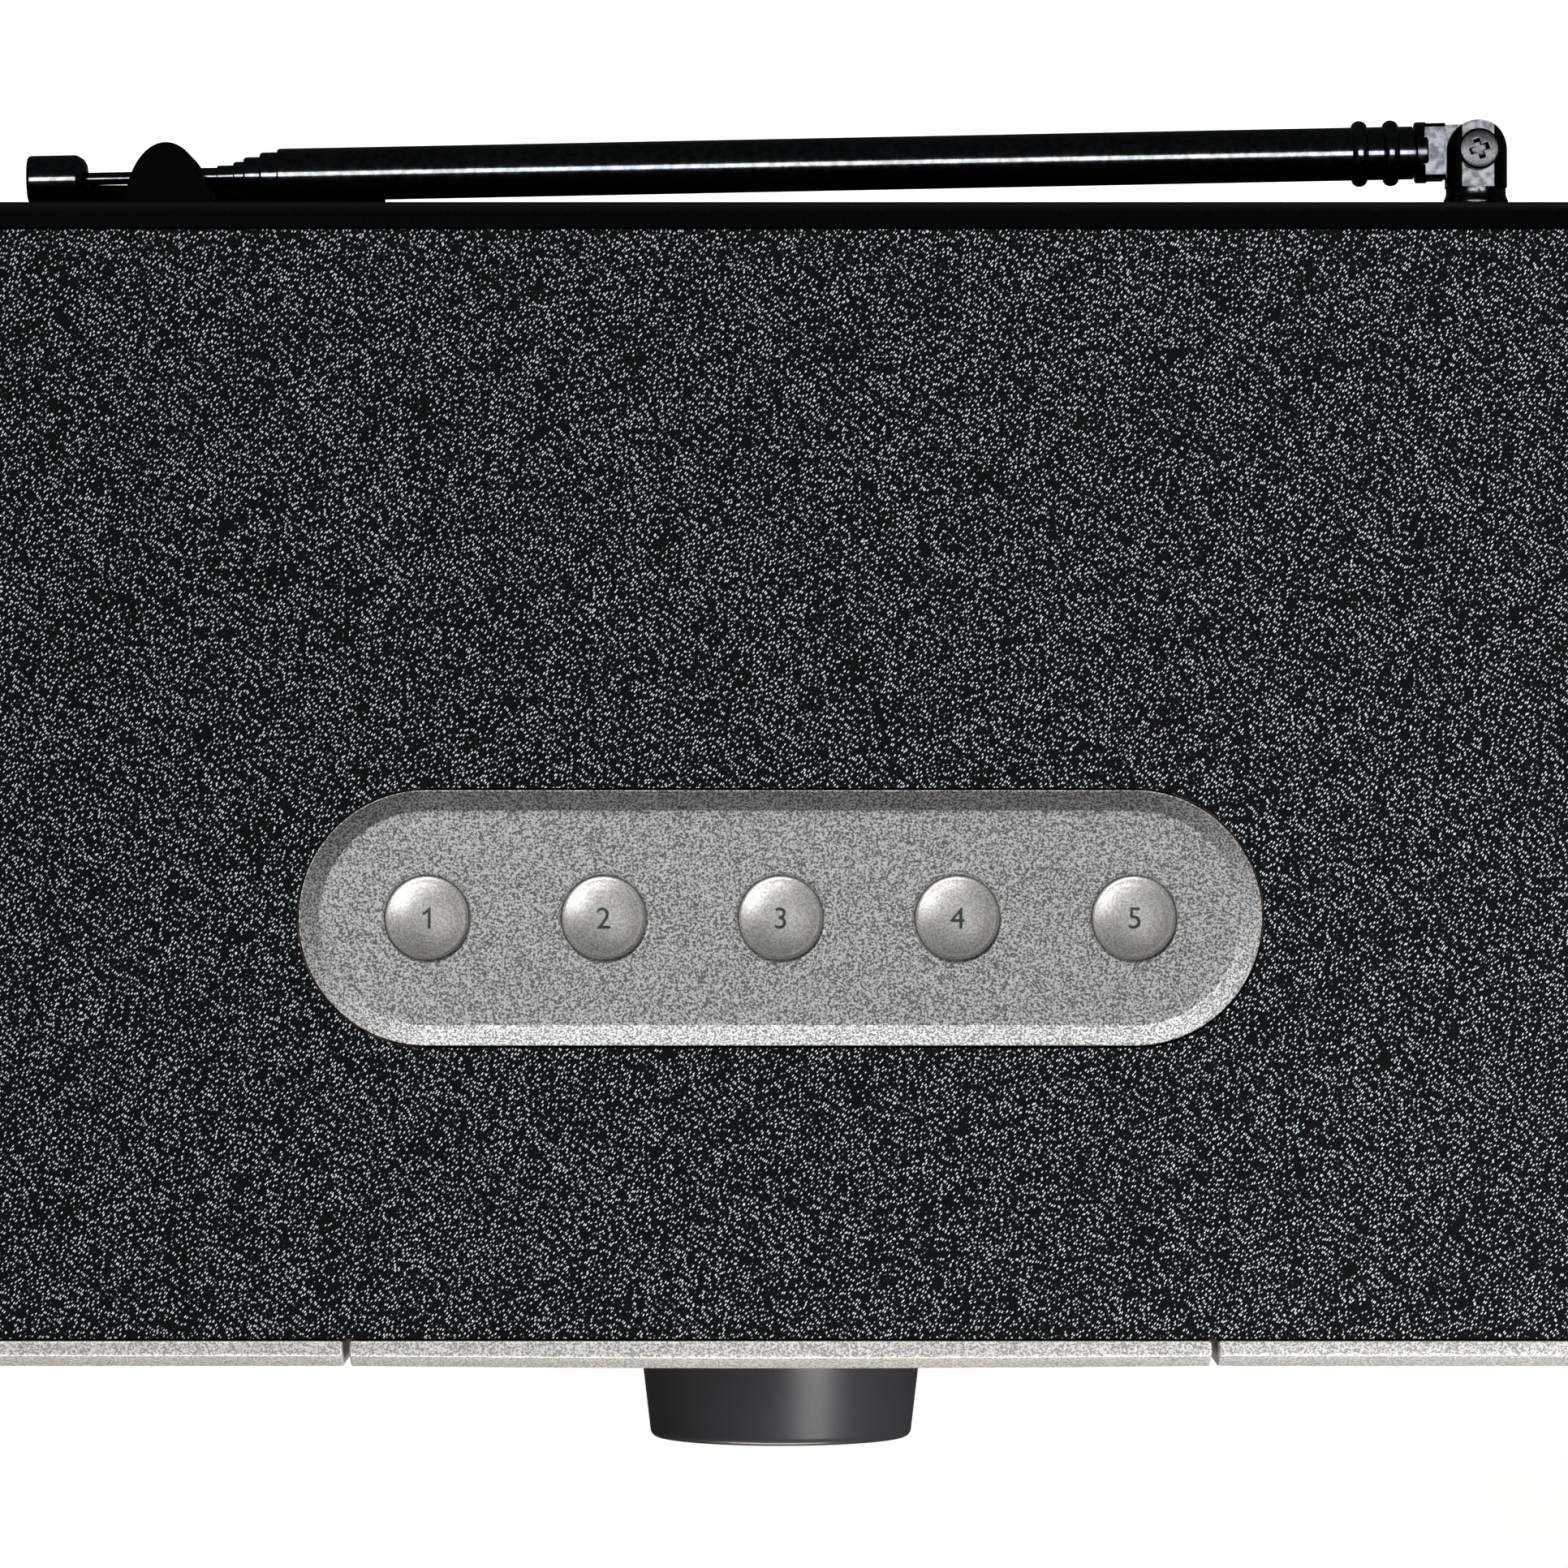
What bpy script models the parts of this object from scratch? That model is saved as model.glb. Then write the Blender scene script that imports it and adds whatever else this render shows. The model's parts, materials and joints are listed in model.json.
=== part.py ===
"""A twin-speaker tabletop radio with a telescopic antenna, built as its separate pieces.

Metres, +Z up. The front faces -Y and the antenna is behind the rear cover. The origin is on the
table, under the middle of the whole outline. Sizes are written as millimetres times MM.
"""

import math

import bmesh
import bpy

MM = 0.001
GAP = 0.3 * MM  # between two pieces that touch
WELD = 0.002 * MM  # points nearer than this are one point

# Cabinet: a wrapped wooden sleeve between a front fascia and a rear cover.
WIDTH = 334 * MM
HEIGHT = 122 * MM
SLEEVE_LENGTH = 159 * MM
EDGE_RADIUS = 8 * MM
WRAP_THICKNESS = 0.8 * MM
WALL = 9 * MM
INNER_RADIUS = 2 * MM
FOOT_HEIGHT = 6 * MM
FOOT_RADIUS = 10 * MM
FOOT_FROM_SIDE = 27 * MM
FOOT_FROM_END = 17 * MM

# Fascia: three metal-faced sections with a chamfer all round the outside.
FASCIA_FLAT = 2.1 * MM
FASCIA_SLOPE = 1.85 * MM
FASCIA_CHAMFER = 5 * MM
CONTROL_WIDTH = 123.6 * MM
SEAM = 1 * MM
SEAM_BEVEL = 0.5 * MM
GRILLE_BORDER = 9.4 * MM
GRILLE_MARGIN = 12 * MM
GRILLE_CORNER = 6 * MM
GRILLE_RECESS = 0.9 * MM
GRILLE_SHEET = 1 * MM
BAFFLE_THICKNESS = 6 * MM
BAFFLE_RIM = 3.1 * MM
BAFFLE_OPENING_WIDTH = 108 * MM

# Controls on the front.
KNOB_BASE_RADIUS = 22 * MM
KNOB_END_RADIUS = 20.2 * MM
KNOB_REACH = 17.5 * MM
KNOB_STANDOFF = 1 * MM
KNOB_WALL = 2.4 * MM
KNOB_DOME = 0.3 * MM
KNOB_EDGE = 1.2 * MM
SHAFT_RADIUS = 3 * MM
PRESS_TRAVEL = 0.6 * MM
WINDOW_WIDTH = 70 * MM
MODULE_CLEARANCE = 0.6 * MM
WINDOW_ABOVE_KNOB = 5 * MM
WINDOW_RECESS = 0.4 * MM
WINDOW_THICKNESS = 1.8 * MM
MODULE_LIP = 1.2 * MM
MODULE_THICKNESS = 5 * MM
FRONT_BUTTON_RADIUS = 4.5 * MM
FRONT_BUTTON_OUT = 45 * MM
FRONT_BUTTON_UP = 12 * MM
FRONT_BUTTON_PROUD = 1.5 * MM
BUTTON_FLANGE = 1.5 * MM
FLANGE_CLEARANCE = 0.8 * MM
BUTTON_TRAVEL = 0.8 * MM
BUTTON_CLEARANCE = 0.6 * MM
SWITCH_HEIGHT = 1.6 * MM
SWITCH_SIZE = 6 * MM
BOARD_THICKNESS = 1.6 * MM
ENCODER_SIZE = 12 * MM

# Preset row on the top.
PRESET_COUNT = 5
PRESET_PITCH = 25.36 * MM
PRESET_ROW = 19.2 * MM  # in front of the sleeve's middle
PRESET_RADIUS = 6 * MM
PRESET_CROWN = 1.7 * MM
PRESET_DOME = 1 * MM
TRAY_WIDTH = 36.6 * MM
TRAY_DEPTH = 1.8 * MM
TRAY_SLOPE = 2.9 * MM
TRAY_FLOOR = 2 * MM
TRAY_SKIRT = 1.6 * MM
TRAY_HEIGHT = 14 * MM

# Speakers.
SPEAKER_OPENING = 33.5 * MM
SPEAKER_FLANGE = 5.5 * MM
SPEAKER_DEPTH = 26 * MM
MAGNET_RADIUS = 24 * MM
MAGNET_LENGTH = 14 * MM
COIL_RADIUS = 12.5 * MM
CONE_EXCURSION = 1.5 * MM
SPEAKER_SIDES = 20

# Rear cover and what it carries.
REAR_THICKNESS = 3.7 * MM
REAR_EDGE = 1.6 * MM
REAR_SCREW_FROM_SIDE = 17 * MM
SCREW_HEAD_RADIUS = 3.2 * MM
SCREW_RADIUS = 1.5 * MM
SCREW_LENGTH = 14 * MM
SCREW_SINK = 2.3 * MM
SOCKET_HEIGHT = 30 * MM
SOCKET_PITCH = 20 * MM
SOCKET_DEPTH = 11 * MM
SOCKET_RADII = {"dc": 5 * MM, "aux": 4 * MM, "headphone": 4 * MM}
SOCKET_BORES = {"dc": 3.2 * MM, "aux": 1.8 * MM, "headphone": 1.8 * MM}
BUSH_RADIUS = 4.6 * MM

# Antenna: sizes along it are measured from the elbow's axis towards the tip.
PIVOT_FROM_SIDE = 64.7 * MM
PIVOT_BELOW_TOP = 30 * MM
PIVOT_STANDOFF = 9.55 * MM
CORNER_CLEARANCE = 0.7 * MM
FORK_RADIUS = 4.4 * MM
FORK_SLOT = 3.6 * MM
TONGUE_THICKNESS = 3 * MM
BLOCK_CLEARANCE = 0.35 * MM
BLOCK_LENGTH = 2.55 * MM
BLOCK_WIDTH = 8.1 * MM
FLANGE_THICKNESS = 1.75 * MM
FLANGE_RADIUS = 4.5 * MM
PLUG_END = 17 * MM
TUBE_RADII = [(3.9, 3.6), (3.4, 3.0), (2.75, 2.35), (2.1, 1.8), (1.6, 1.45), (1.3, 1.12)]
TUBE_ENDS = [176.3, 178.9, 181.3, 182.8, 185.2, 189]
TUBE_HIDDEN_START = 20 * MM
TUBE_HIDDEN_STEP = 2 * MM
BEADS = [12.6, 17.2]
BEAD_HEIGHT = 1 * MM
BEAD_WIDTH = 1.2 * MM
ROD_RADIUS = 0.93 * MM
TIP_START = 204.3 * MM
TIP_LENGTH = 8.8 * MM
TIP_RADIUS = 3.55 * MM
TIP_BORE = 4 * MM
CLIP_ALONG = 192.2 * MM
CLIP_HALF_WIDTH = 6.1 * MM
CLIP_REACH = 10.1 * MM
CLIP_HEIGHT = 14 * MM
CLIP_FLARE = 1.2 * MM
CLIP_MOUTH = 3.6 * MM
LEDGE_FROM = 160 * MM
LEDGE_TO = 212.5 * MM
LEDGE_REACH = 5.2 * MM
LEDGE_THICKNESS = 4 * MM
ANTENNA_SIDES = 12

# Places that several pieces share.
top = FOOT_HEIGHT + HEIGHT
middle = FOOT_HEIGHT + HEIGHT / 2
fascia_back = SLEEVE_LENGTH / 2 + GAP
fascia_face = fascia_back + FASCIA_FLAT + FASCIA_SLOPE
rear_back = SLEEVE_LENGTH / 2 + GAP
rear_face = rear_back + REAR_THICKNESS
sleeve_inset = WRAP_THICKNESS + GAP
inner_inset = sleeve_inset + WALL
inner_width = WIDTH - 2 * inner_inset
inner_height = HEIGHT - 2 * inner_inset
side_start = CONTROL_WIDTH / 2 + SEAM
speaker_x = (side_start + WIDTH / 2) / 2
baffle_back = SLEEVE_LENGTH / 2 - BAFFLE_THICKNESS
board_front = baffle_back - GAP
opening_low = FOOT_HEIGHT + inner_inset + BAFFLE_RIM
lower_button = opening_low + FLANGE_CLEARANCE + BUTTON_FLANGE + FRONT_BUTTON_RADIUS
knob_height = lower_button + FRONT_BUTTON_UP
window_low = knob_height + KNOB_BASE_RADIUS + WINDOW_ABOVE_KNOB
window_high = top - inner_inset - BAFFLE_RIM - MODULE_CLEARANCE - MODULE_LIP
window_size = (WINDOW_WIDTH, window_high - window_low)
window_z = (window_low + window_high) / 2
tray_length = (PRESET_COUNT - 1) * PRESET_PITCH + TRAY_WIDTH
tray_floor = top - TRAY_DEPTH
preset_x = [(place - (PRESET_COUNT - 1) / 2) * PRESET_PITCH for place in range(PRESET_COUNT)]
pivot_x = WIDTH / 2 - PIVOT_FROM_SIDE
pivot_y = rear_face + PIVOT_STANDOFF
pivot_z = top - PIVOT_BELOW_TOP
corner_drop = PIVOT_STANDOFF - TIP_RADIUS - CORNER_CLEARANCE
block_start = FORK_RADIUS + BLOCK_CLEARANCE
flange_start = block_start + BLOCK_LENGTH
tube_start = flange_start + FLANGE_THICKNESS + GAP
antenna_tilt = math.atan(corner_drop / (pivot_x + WIDTH / 2))
# The knob and the antenna reach past the cabinet, and the outline's middle is the origin.
shift = (fascia_face + KNOB_REACH - pivot_y - FORK_RADIUS) / 2

FORWARD = (math.radians(90), 0, 0)  # a piece's own Z points out of the front
REARWARD = (math.radians(-90), 0, 0)  # a piece's own Z points out of the back
ALONG_ANTENNA = (0, math.radians(-90), 0)

# Finish: colour, roughness, metallic.
LEATHERETTE = ((0.02, 0.02, 0.022), 0.55, 0)
WOOD = ((0.45, 0.3, 0.17), 0.8, 0)
SILVER = ((0.55, 0.54, 0.53), 0.4, 0.9)
STEEL = ((0.45, 0.45, 0.46), 0.35, 1)
BLACK_PLASTIC = ((0.012, 0.012, 0.013), 0.5, 0)
BLACK_CHROME = ((0.04, 0.045, 0.05), 0.15, 1)
CHARCOAL = ((0.06, 0.06, 0.065), 0.35, 0.3)
BOARD = ((0.02, 0.12, 0.05), 0.5, 0)
CONE_PAPER = ((0.03, 0.03, 0.03), 0.9, 0)
RUBBER = ((0.02, 0.02, 0.02), 0.8, 0)
BRASS = ((0.6, 0.45, 0.2), 0.3, 1)
WINDOW = ((0.01, 0.012, 0.015), 0.08, 0)


def clear_scene():
    for left_over in list(bpy.data.objects):
        bpy.data.objects.remove(left_over)


def new_collection(name):
    collection = bpy.data.collections.new(name)
    bpy.context.scene.collection.children.link(collection)
    return collection


def new_empty(name, location, rotation=(0, 0, 0), parent=None):
    empty = bpy.data.objects.new(name, None)
    empty.location = location
    empty.rotation_euler = rotation
    empty.parent = parent
    parts.objects.link(empty)
    return empty


def new_material(name, finish):
    colour, roughness, metallic = finish
    material = bpy.data.materials.new(name)
    material.use_nodes = True
    shader = material.node_tree.nodes["Principled BSDF"]
    shader.inputs["Base Color"].default_value = (*colour, 1)
    shader.inputs["Roughness"].default_value = roughness
    shader.inputs["Metallic"].default_value = metallic
    return material


def add_piece(name, mesh, finish, location=(0, 0, 0), rotation=(0, 0, 0), parent=None):
    piece = bpy.data.objects.new(name, mesh)
    piece.location = location
    piece.rotation_euler = rotation
    piece.parent = parent or radio
    if finish:
        mesh.materials.append(new_material(name, finish))
        parts.objects.link(piece)
    else:
        cutters.objects.link(piece)
        piece.hide_render = True
        piece.display_type = "WIRE"
    return piece


def arc(centre, radius, start, end, steps):
    turns = [math.radians(start + (end - start) * step / steps) for step in range(steps + 1)]
    return [(centre[0] + radius * math.cos(turn), centre[1] + radius * math.sin(turn)) for turn in turns]


def circle(radius, centre=(0, 0), steps=24):
    return arc(centre, radius, 0, 360 - 360 / steps, steps - 1)


def rectangle(width, height, centre=(0, 0)):
    signs = ((1, 1), (-1, 1), (-1, -1), (1, -1))
    return [(centre[0] + x * width / 2, centre[1] + y * height / 2) for x, y in signs]


def rounded(width, height, radius, centre=(0, 0), steps=5):
    points = []
    for turn, corner in enumerate(rectangle(width - 2 * radius, height - 2 * radius, centre)):
        for point in arc(corner, radius, 90 * turn, 90 * turn + 90, steps):
            if not points or math.dist(point, points[-1]) > WELD:
                points.append(point)
    if math.dist(points[0], points[-1]) < WELD:
        points.pop()
    return points


def stadium(inset):
    """The preset tray's outline, with its ends centred on the outer buttons."""
    width = TRAY_WIDTH - 2 * inset
    return rounded(tray_length - 2 * inset, width, width / 2, steps=6)


def prism(outlines, low, high):
    """A flat outline, with its holes, made solid from low to high along its own Z."""
    curve = bpy.data.curves.new("outline", "CURVE")
    curve.dimensions = "2D"
    curve.fill_mode = "BOTH"
    curve.extrude = (high - low) / 2
    for points in outlines:
        spline = curve.splines.new("POLY")
        spline.points.add(len(points) - 1)
        for place, point in zip(spline.points, points):
            place.co = (*point, 0, 1)
        spline.use_cyclic_u = True
    drawn = bpy.data.objects.new("outline", curve)
    bpy.context.scene.collection.objects.link(drawn)
    graph = bpy.context.evaluated_depsgraph_get()
    mesh = bpy.data.meshes.new_from_object(drawn.evaluated_get(graph))
    bpy.data.objects.remove(drawn)
    bpy.data.curves.remove(curve)
    with_mesh(mesh, lambda bm: bmesh.ops.translate(bm, vec=(0, 0, (low + high) / 2), verts=bm.verts))
    return mesh


def with_mesh(mesh, change):
    """Edit a mesh, then weld it and turn its faces outwards."""
    bm = bmesh.new()
    bm.from_mesh(mesh)
    bmesh.ops.remove_doubles(bm, verts=bm.verts, dist=WELD)
    change(bm)
    bmesh.ops.recalc_face_normals(bm, faces=bm.faces)
    bm.to_mesh(mesh)
    bm.free()


def slope_end(mesh, width, depth, up=1):
    """Step the flat end that faces up (1) or down (-1) inwards by width and out by depth."""

    def change(bm):
        bm.normal_update()
        ends = [face for face in bm.faces if face.normal.z * up > 0.9]
        bmesh.ops.inset_region(bm, faces=ends, thickness=width, depth=depth, use_even_offset=True)

    with_mesh(mesh, change)
    return mesh


def turned(name, profile, finish, location=(0, 0, 0), rotation=(0, 0, 0), parent=None, steps=24):
    """A profile of (radius, height) points, turned about its own Z."""
    edges = [(point, point + 1) for point in range(len(profile) - 1)]
    if profile[0][0] > 0:
        edges.append((len(profile) - 1, 0))
    mesh = bpy.data.meshes.new(name)
    mesh.from_pydata([(radius, 0, height) for radius, height in profile], edges, [])
    piece = add_piece(name, mesh, finish, location, rotation, parent)
    screw = piece.modifiers.new("turn", "SCREW")
    screw.steps = steps
    screw.render_steps = steps
    screw.use_merge_vertices = True
    screw.merge_threshold = WELD
    screw.use_smooth_shade = True
    return piece


def combine(piece, other, operation="DIFFERENCE"):
    boolean = piece.modifiers.new(other.name, "BOOLEAN")
    boolean.object = other
    boolean.operation = operation
    boolean.solver = "EXACT"


def new_cutter(name, outlines, low, high, location=(0, 0, 0), rotation=(0, 0, 0), parent=None):
    return add_piece(name, prism(outlines, low, high), None, location, rotation, parent)


def section(inset, centre=(0, 0)):
    """The cabinet's cross-section, inset on every side."""
    radius = max(EDGE_RADIUS - inset, INNER_RADIUS)
    return rounded(WIDTH - 2 * inset, HEIGHT - 2 * inset, radius, centre)


def make_cabinet():
    half = SLEEVE_LENGTH / 2
    place = (0, 0, middle)
    skin = prism([section(0), section(WRAP_THICKNESS)], -half, half)
    wrap = add_piece("leatherette_wrap", skin, LEATHERETTE, place, FORWARD)
    box = prism([section(sleeve_inset), section(inner_inset)], -half, half)
    sleeve = add_piece("cabinet_sleeve", box, WOOD, place, FORWARD)
    tray_hole = new_cutter("tray_hole", [stadium(-GAP)], middle, top + WALL, (0, -PRESET_ROW, 0))
    combine(wrap, tray_hole)
    combine(sleeve, tray_hole)
    screw_holes = new_cutter(
        "sleeve_screw_holes",
        [circle(SCREW_RADIUS + GAP, place, 12) for place in rear_screw_places()],
        -half - WALL,
        -half + SCREW_LENGTH,
        place,
        FORWARD,
    )
    combine(sleeve, screw_holes)


def make_feet():
    profile = [
        (0, FOOT_HEIGHT - GAP),
        (FOOT_RADIUS, FOOT_HEIGHT - GAP),
        (FOOT_RADIUS, 1.5 * MM),
        (FOOT_RADIUS - 1.5 * MM, 0),
        (0, 0),
    ]
    out = WIDTH / 2 - FOOT_FROM_SIDE
    along = SLEEVE_LENGTH / 2 - FOOT_FROM_END
    for end, y in (("front", -along), ("rear", along)):
        for side, x in (("left", -out), ("right", out)):
            turned(f"foot_{end}_{side}", profile, RUBBER, (x, y, 0), steps=20)


def fascia_section(name, low, high, openings):
    """The part of the fascia between two seams: the whole chamfered slab, cut to its outline."""
    slab = prism([section(0)], fascia_back, fascia_back + FASCIA_FLAT)
    piece = add_piece(
        name, slope_end(slab, FASCIA_CHAMFER, FASCIA_SLOPE), SILVER, (0, 0, middle), FORWARD
    )
    outline = rectangle(high - low, 2 * HEIGHT, ((low + high) / 2, 0))
    keep = new_cutter(
        f"{name}_outline", [outline, *openings], 0, SLEEVE_LENGTH, (0, 0, middle), FORWARD
    )
    combine(piece, keep, "INTERSECT")
    past_back, past_face = -fascia_back + GAP, -fascia_face - GAP
    bevel = SEAM_BEVEL + GAP
    plan = [
        (low, past_back),
        (low, past_face + bevel),
        (low + bevel, past_face),
        (high - bevel, past_face),
        (high, past_face + bevel),
        (high, past_back),
    ]
    corners = new_cutter(f"{name}_plan", [plan], -FOOT_HEIGHT, top + FOOT_HEIGHT)
    combine(piece, corners, "INTERSECT")
    return piece


def grille_size(less=0):
    width = WIDTH / 2 - side_start - 2 * GRILLE_BORDER
    height = HEIGHT - 2 * GRILLE_MARGIN
    return width - 2 * less, height - 2 * less, GRILLE_CORNER - less


def make_fascia():
    beyond = WIDTH / 2 + SEAM
    for side, name in ((-1, "left"), (1, "right")):
        opening = rounded(*grille_size(), (side * speaker_x, 0))
        ends = sorted((side * side_start, side * beyond))
        fascia_section(f"{name}_grille_frame", *ends, [opening])
        make_grille(f"{name}_grille", side * speaker_x)
    knob_hole = circle(SHAFT_RADIUS + BUTTON_CLEARANCE, (0, knob_height - middle), 20)
    window = rounded(*window_size, 2 * MM, (0, window_z - middle), 3)
    holes = [
        circle(FRONT_BUTTON_RADIUS + BUTTON_CLEARANCE, (x, z - middle), 20)
        for x, z in front_button_places().values()
    ]
    fascia_section(
        "control_panel", -CONTROL_WIDTH / 2, CONTROL_WIDTH / 2, [window, knob_hole, *holes]
    )


def make_grille(name, x):
    """A shallow pressed pan whose rim stands on the baffle. It is plain where the real one has holes."""
    front = fascia_face - GRILLE_RECESS
    outside = rounded(*grille_size(GAP))
    place = (x, 0, middle)
    pan = add_piece(name, prism([outside], fascia_back, front), STEEL, place, FORWARD)
    inside = rounded(*grille_size(GAP + GRILLE_SHEET))
    pocket = new_cutter(
        f"{name}_pocket", [inside], fascia_back - WALL, front - GRILLE_SHEET, place, FORWARD
    )
    combine(pan, pocket)


def make_baffle():
    outside = rounded(inner_width - 2 * GAP, inner_height - 2 * GAP, INNER_RADIUS, steps=2)
    middle_opening = rounded(BAFFLE_OPENING_WIDTH, inner_height - 2 * BAFFLE_RIM, INNER_RADIUS, steps=2)
    speakers = [circle(SPEAKER_OPENING, (side * speaker_x, 0), 32) for side in (-1, 1)]
    solid = prism([outside, middle_opening, *speakers], baffle_back, SLEEVE_LENGTH / 2)
    add_piece("front_baffle", solid, WOOD, (0, 0, middle), FORWARD)


def front_button_places():
    places = {}
    for side, x in (("left", -FRONT_BUTTON_OUT), ("right", FRONT_BUTTON_OUT)):
        for level, lift in (("upper", FRONT_BUTTON_UP), ("lower", -FRONT_BUTTON_UP)):
            places[f"{side}_{level}"] = (x, knob_height + lift)
    return places


def button_profile(radius, crown, dome, panel_thickness, switch_face):
    """A cap with a low dome, a flange behind the panel and a stem down to its switch.

    Heights are from the panel's outer face. The dome's edge is rounded off by a fifth of a cap.
    """
    edge = radius - 0.5 * MM
    sphere = (edge**2 + dome**2) / (2 * dome)
    profile = []
    for share in (0, 0.4, 0.75, 1):
        out = edge * share
        profile.append((out, crown - sphere + math.sqrt(sphere**2 - out**2)))
    flange = -panel_thickness - GAP
    stem_radius = 2 * MM
    profile += [
        (radius, crown - dome - 0.5 * MM),
        (radius, flange),
        (radius + BUTTON_FLANGE, flange),
        (radius + BUTTON_FLANGE, flange - 1 * MM),
        (stem_radius, flange - 1 * MM),
        (stem_radius, switch_face + BUTTON_TRAVEL + GAP),
        (0, switch_face + BUTTON_TRAVEL + GAP),
    ]
    return profile


def make_front_buttons():
    depth = fascia_face - fascia_back
    profile = button_profile(
        FRONT_BUTTON_RADIUS,
        FRONT_BUTTON_PROUD,
        0.5 * MM,
        depth,
        board_front + SWITCH_HEIGHT - fascia_face,
    )
    for name, (x, z) in front_button_places().items():
        turned(f"front_button_{name}", profile, SILVER, (x, -fascia_face, z), FORWARD, steps=16)


def make_display():
    front = fascia_face - WINDOW_RECESS
    width, height = window_size
    window = rounded(width - 2 * GAP, height - 2 * GAP, 2 * MM - GAP, steps=3)
    place = (0, 0, window_z)
    add_piece("display_window", prism([window], front - WINDOW_THICKNESS, front), WINDOW, place, FORWARD)
    module = rectangle(width + 2 * MODULE_LIP, height + 2 * MODULE_LIP)
    back = SLEEVE_LENGTH / 2 - MODULE_THICKNESS
    solid = prism([module], back, SLEEVE_LENGTH / 2)
    add_piece("display_module", solid, BLACK_PLASTIC, place, FORWARD)


def make_main_board():
    """The board lies on the back of the baffle and carries the front switches."""
    outside = rounded(BAFFLE_OPENING_WIDTH + 6 * MM, inner_height - 2 * MM, INNER_RADIUS, steps=2)
    solid = prism([outside], board_front - BOARD_THICKNESS, board_front)
    board = add_piece("main_board", solid, BOARD, (0, 0, middle), FORWARD)
    switches = new_cutter(
        "front_switches",
        [
            rectangle(SWITCH_SIZE, SWITCH_SIZE, (x, z - middle))
            for x, z in front_button_places().values()
        ],
        board_front - BOARD_THICKNESS / 2,
        board_front + SWITCH_HEIGHT,
        (0, 0, middle),
        FORWARD,
    )
    combine(board, switches, "UNION")


def make_knob():
    """The knob turns with its shaft. Both press in with the encoder's plunger round the shaft."""
    edge = KNOB_END_RADIUS - KNOB_EDGE
    rim = KNOB_REACH - KNOB_DOME
    sphere = (edge**2 + KNOB_DOME**2) / (2 * KNOB_DOME)
    profile = []
    for share in (0, 0.35, 0.7, 1):
        out = edge * share
        profile.append((out, KNOB_REACH - sphere + math.sqrt(sphere**2 - out**2)))
    profile += [
        (edge + KNOB_EDGE * 0.7, rim - KNOB_EDGE * 0.3),
        (KNOB_END_RADIUS, rim - KNOB_EDGE),
        (KNOB_BASE_RADIUS, KNOB_STANDOFF),
        (KNOB_BASE_RADIUS - KNOB_WALL, KNOB_STANDOFF),
        (edge - KNOB_WALL, rim - 2 * KNOB_WALL),
        (2 * SHAFT_RADIUS, rim - 2 * KNOB_WALL),
        (2 * SHAFT_RADIUS, KNOB_STANDOFF),
        (SHAFT_RADIUS + GAP, KNOB_STANDOFF),
        (SHAFT_RADIUS + GAP, rim - KNOB_WALL),
        (0, rim - KNOB_WALL),
    ]
    place = (0, -fascia_face, knob_height)
    turned("volume_knob", profile, CHARCOAL, place, FORWARD, steps=32)

    encoder_front = SLEEVE_LENGTH / 2 - GAP
    bore_floor = board_front + GAP + 1.5 * MM
    shaft_end = bore_floor + PRESS_TRAVEL + 2 * GAP - fascia_face
    shaft = [
        (0, rim - KNOB_WALL - GAP),
        (SHAFT_RADIUS, rim - KNOB_WALL - GAP),
        (SHAFT_RADIUS, shaft_end),
        (0, shaft_end),
    ]
    turned("knob_shaft", shaft, STEEL, place, FORWARD, steps=20)

    ring_outside = SHAFT_RADIUS + 4 * GAP
    ring = [
        (ring_outside, encoder_front - fascia_face),
        (ring_outside, shaft_end),
        (SHAFT_RADIUS + GAP, shaft_end),
        (SHAFT_RADIUS + GAP, encoder_front - fascia_face),
    ]
    turned("encoder_plunger", ring, BRASS, place, FORWARD, steps=20)

    body = prism([rectangle(ENCODER_SIZE, ENCODER_SIZE)], board_front + GAP, encoder_front)
    encoder = add_piece("encoder_body", body, STEEL, (0, 0, knob_height), FORWARD)
    bore = new_cutter(
        "encoder_bore",
        [circle(ring_outside + GAP, steps=20)],
        bore_floor,
        fascia_face,
        (0, 0, knob_height),
        FORWARD,
    )
    combine(encoder, bore)


def make_preset_row():
    """A dished tray let into the top, five domed buttons in it and their board under it."""
    bottom = top - TRAY_HEIGHT
    place = (0, -PRESET_ROW, 0)
    tray = add_piece("preset_tray", prism([stadium(0)], bottom, top), SILVER, place)
    dish_mesh = prism([stadium(GAP)], top, top + TRAY_DEPTH)
    slope_end(dish_mesh, TRAY_SLOPE - GAP, TRAY_DEPTH, up=-1)
    dish = add_piece("tray_dish", dish_mesh, None, place)
    pocket = new_cutter(
        "tray_pocket", [stadium(TRAY_SKIRT)], bottom - TRAY_FLOOR, tray_floor - TRAY_FLOOR, place
    )
    holes = new_cutter(
        "tray_holes", [circle(PRESET_RADIUS + BUTTON_CLEARANCE, (x, 0)) for x in preset_x], middle, top, place
    )
    for cutter in (dish, pocket, holes):
        combine(tray, cutter)

    board_top = bottom - GAP
    solid = prism([stadium(GAP)], board_top - BOARD_THICKNESS, board_top)
    board = add_piece("preset_board", solid, BOARD, place)
    switches = new_cutter(
        "preset_switches",
        [rectangle(SWITCH_SIZE, SWITCH_SIZE, (x, 0)) for x in preset_x],
        board_top - BOARD_THICKNESS / 2,
        board_top + SWITCH_HEIGHT,
        place,
    )
    combine(board, switches, "UNION")

    switch_face = board_top + SWITCH_HEIGHT - tray_floor
    profile = button_profile(PRESET_RADIUS, PRESET_CROWN, PRESET_DOME, TRAY_FLOOR, switch_face)
    for number, x in enumerate(preset_x, 1):
        turned(f"preset_button_{number}", profile, SILVER, (x, -PRESET_ROW, tray_floor), steps=16)


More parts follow.
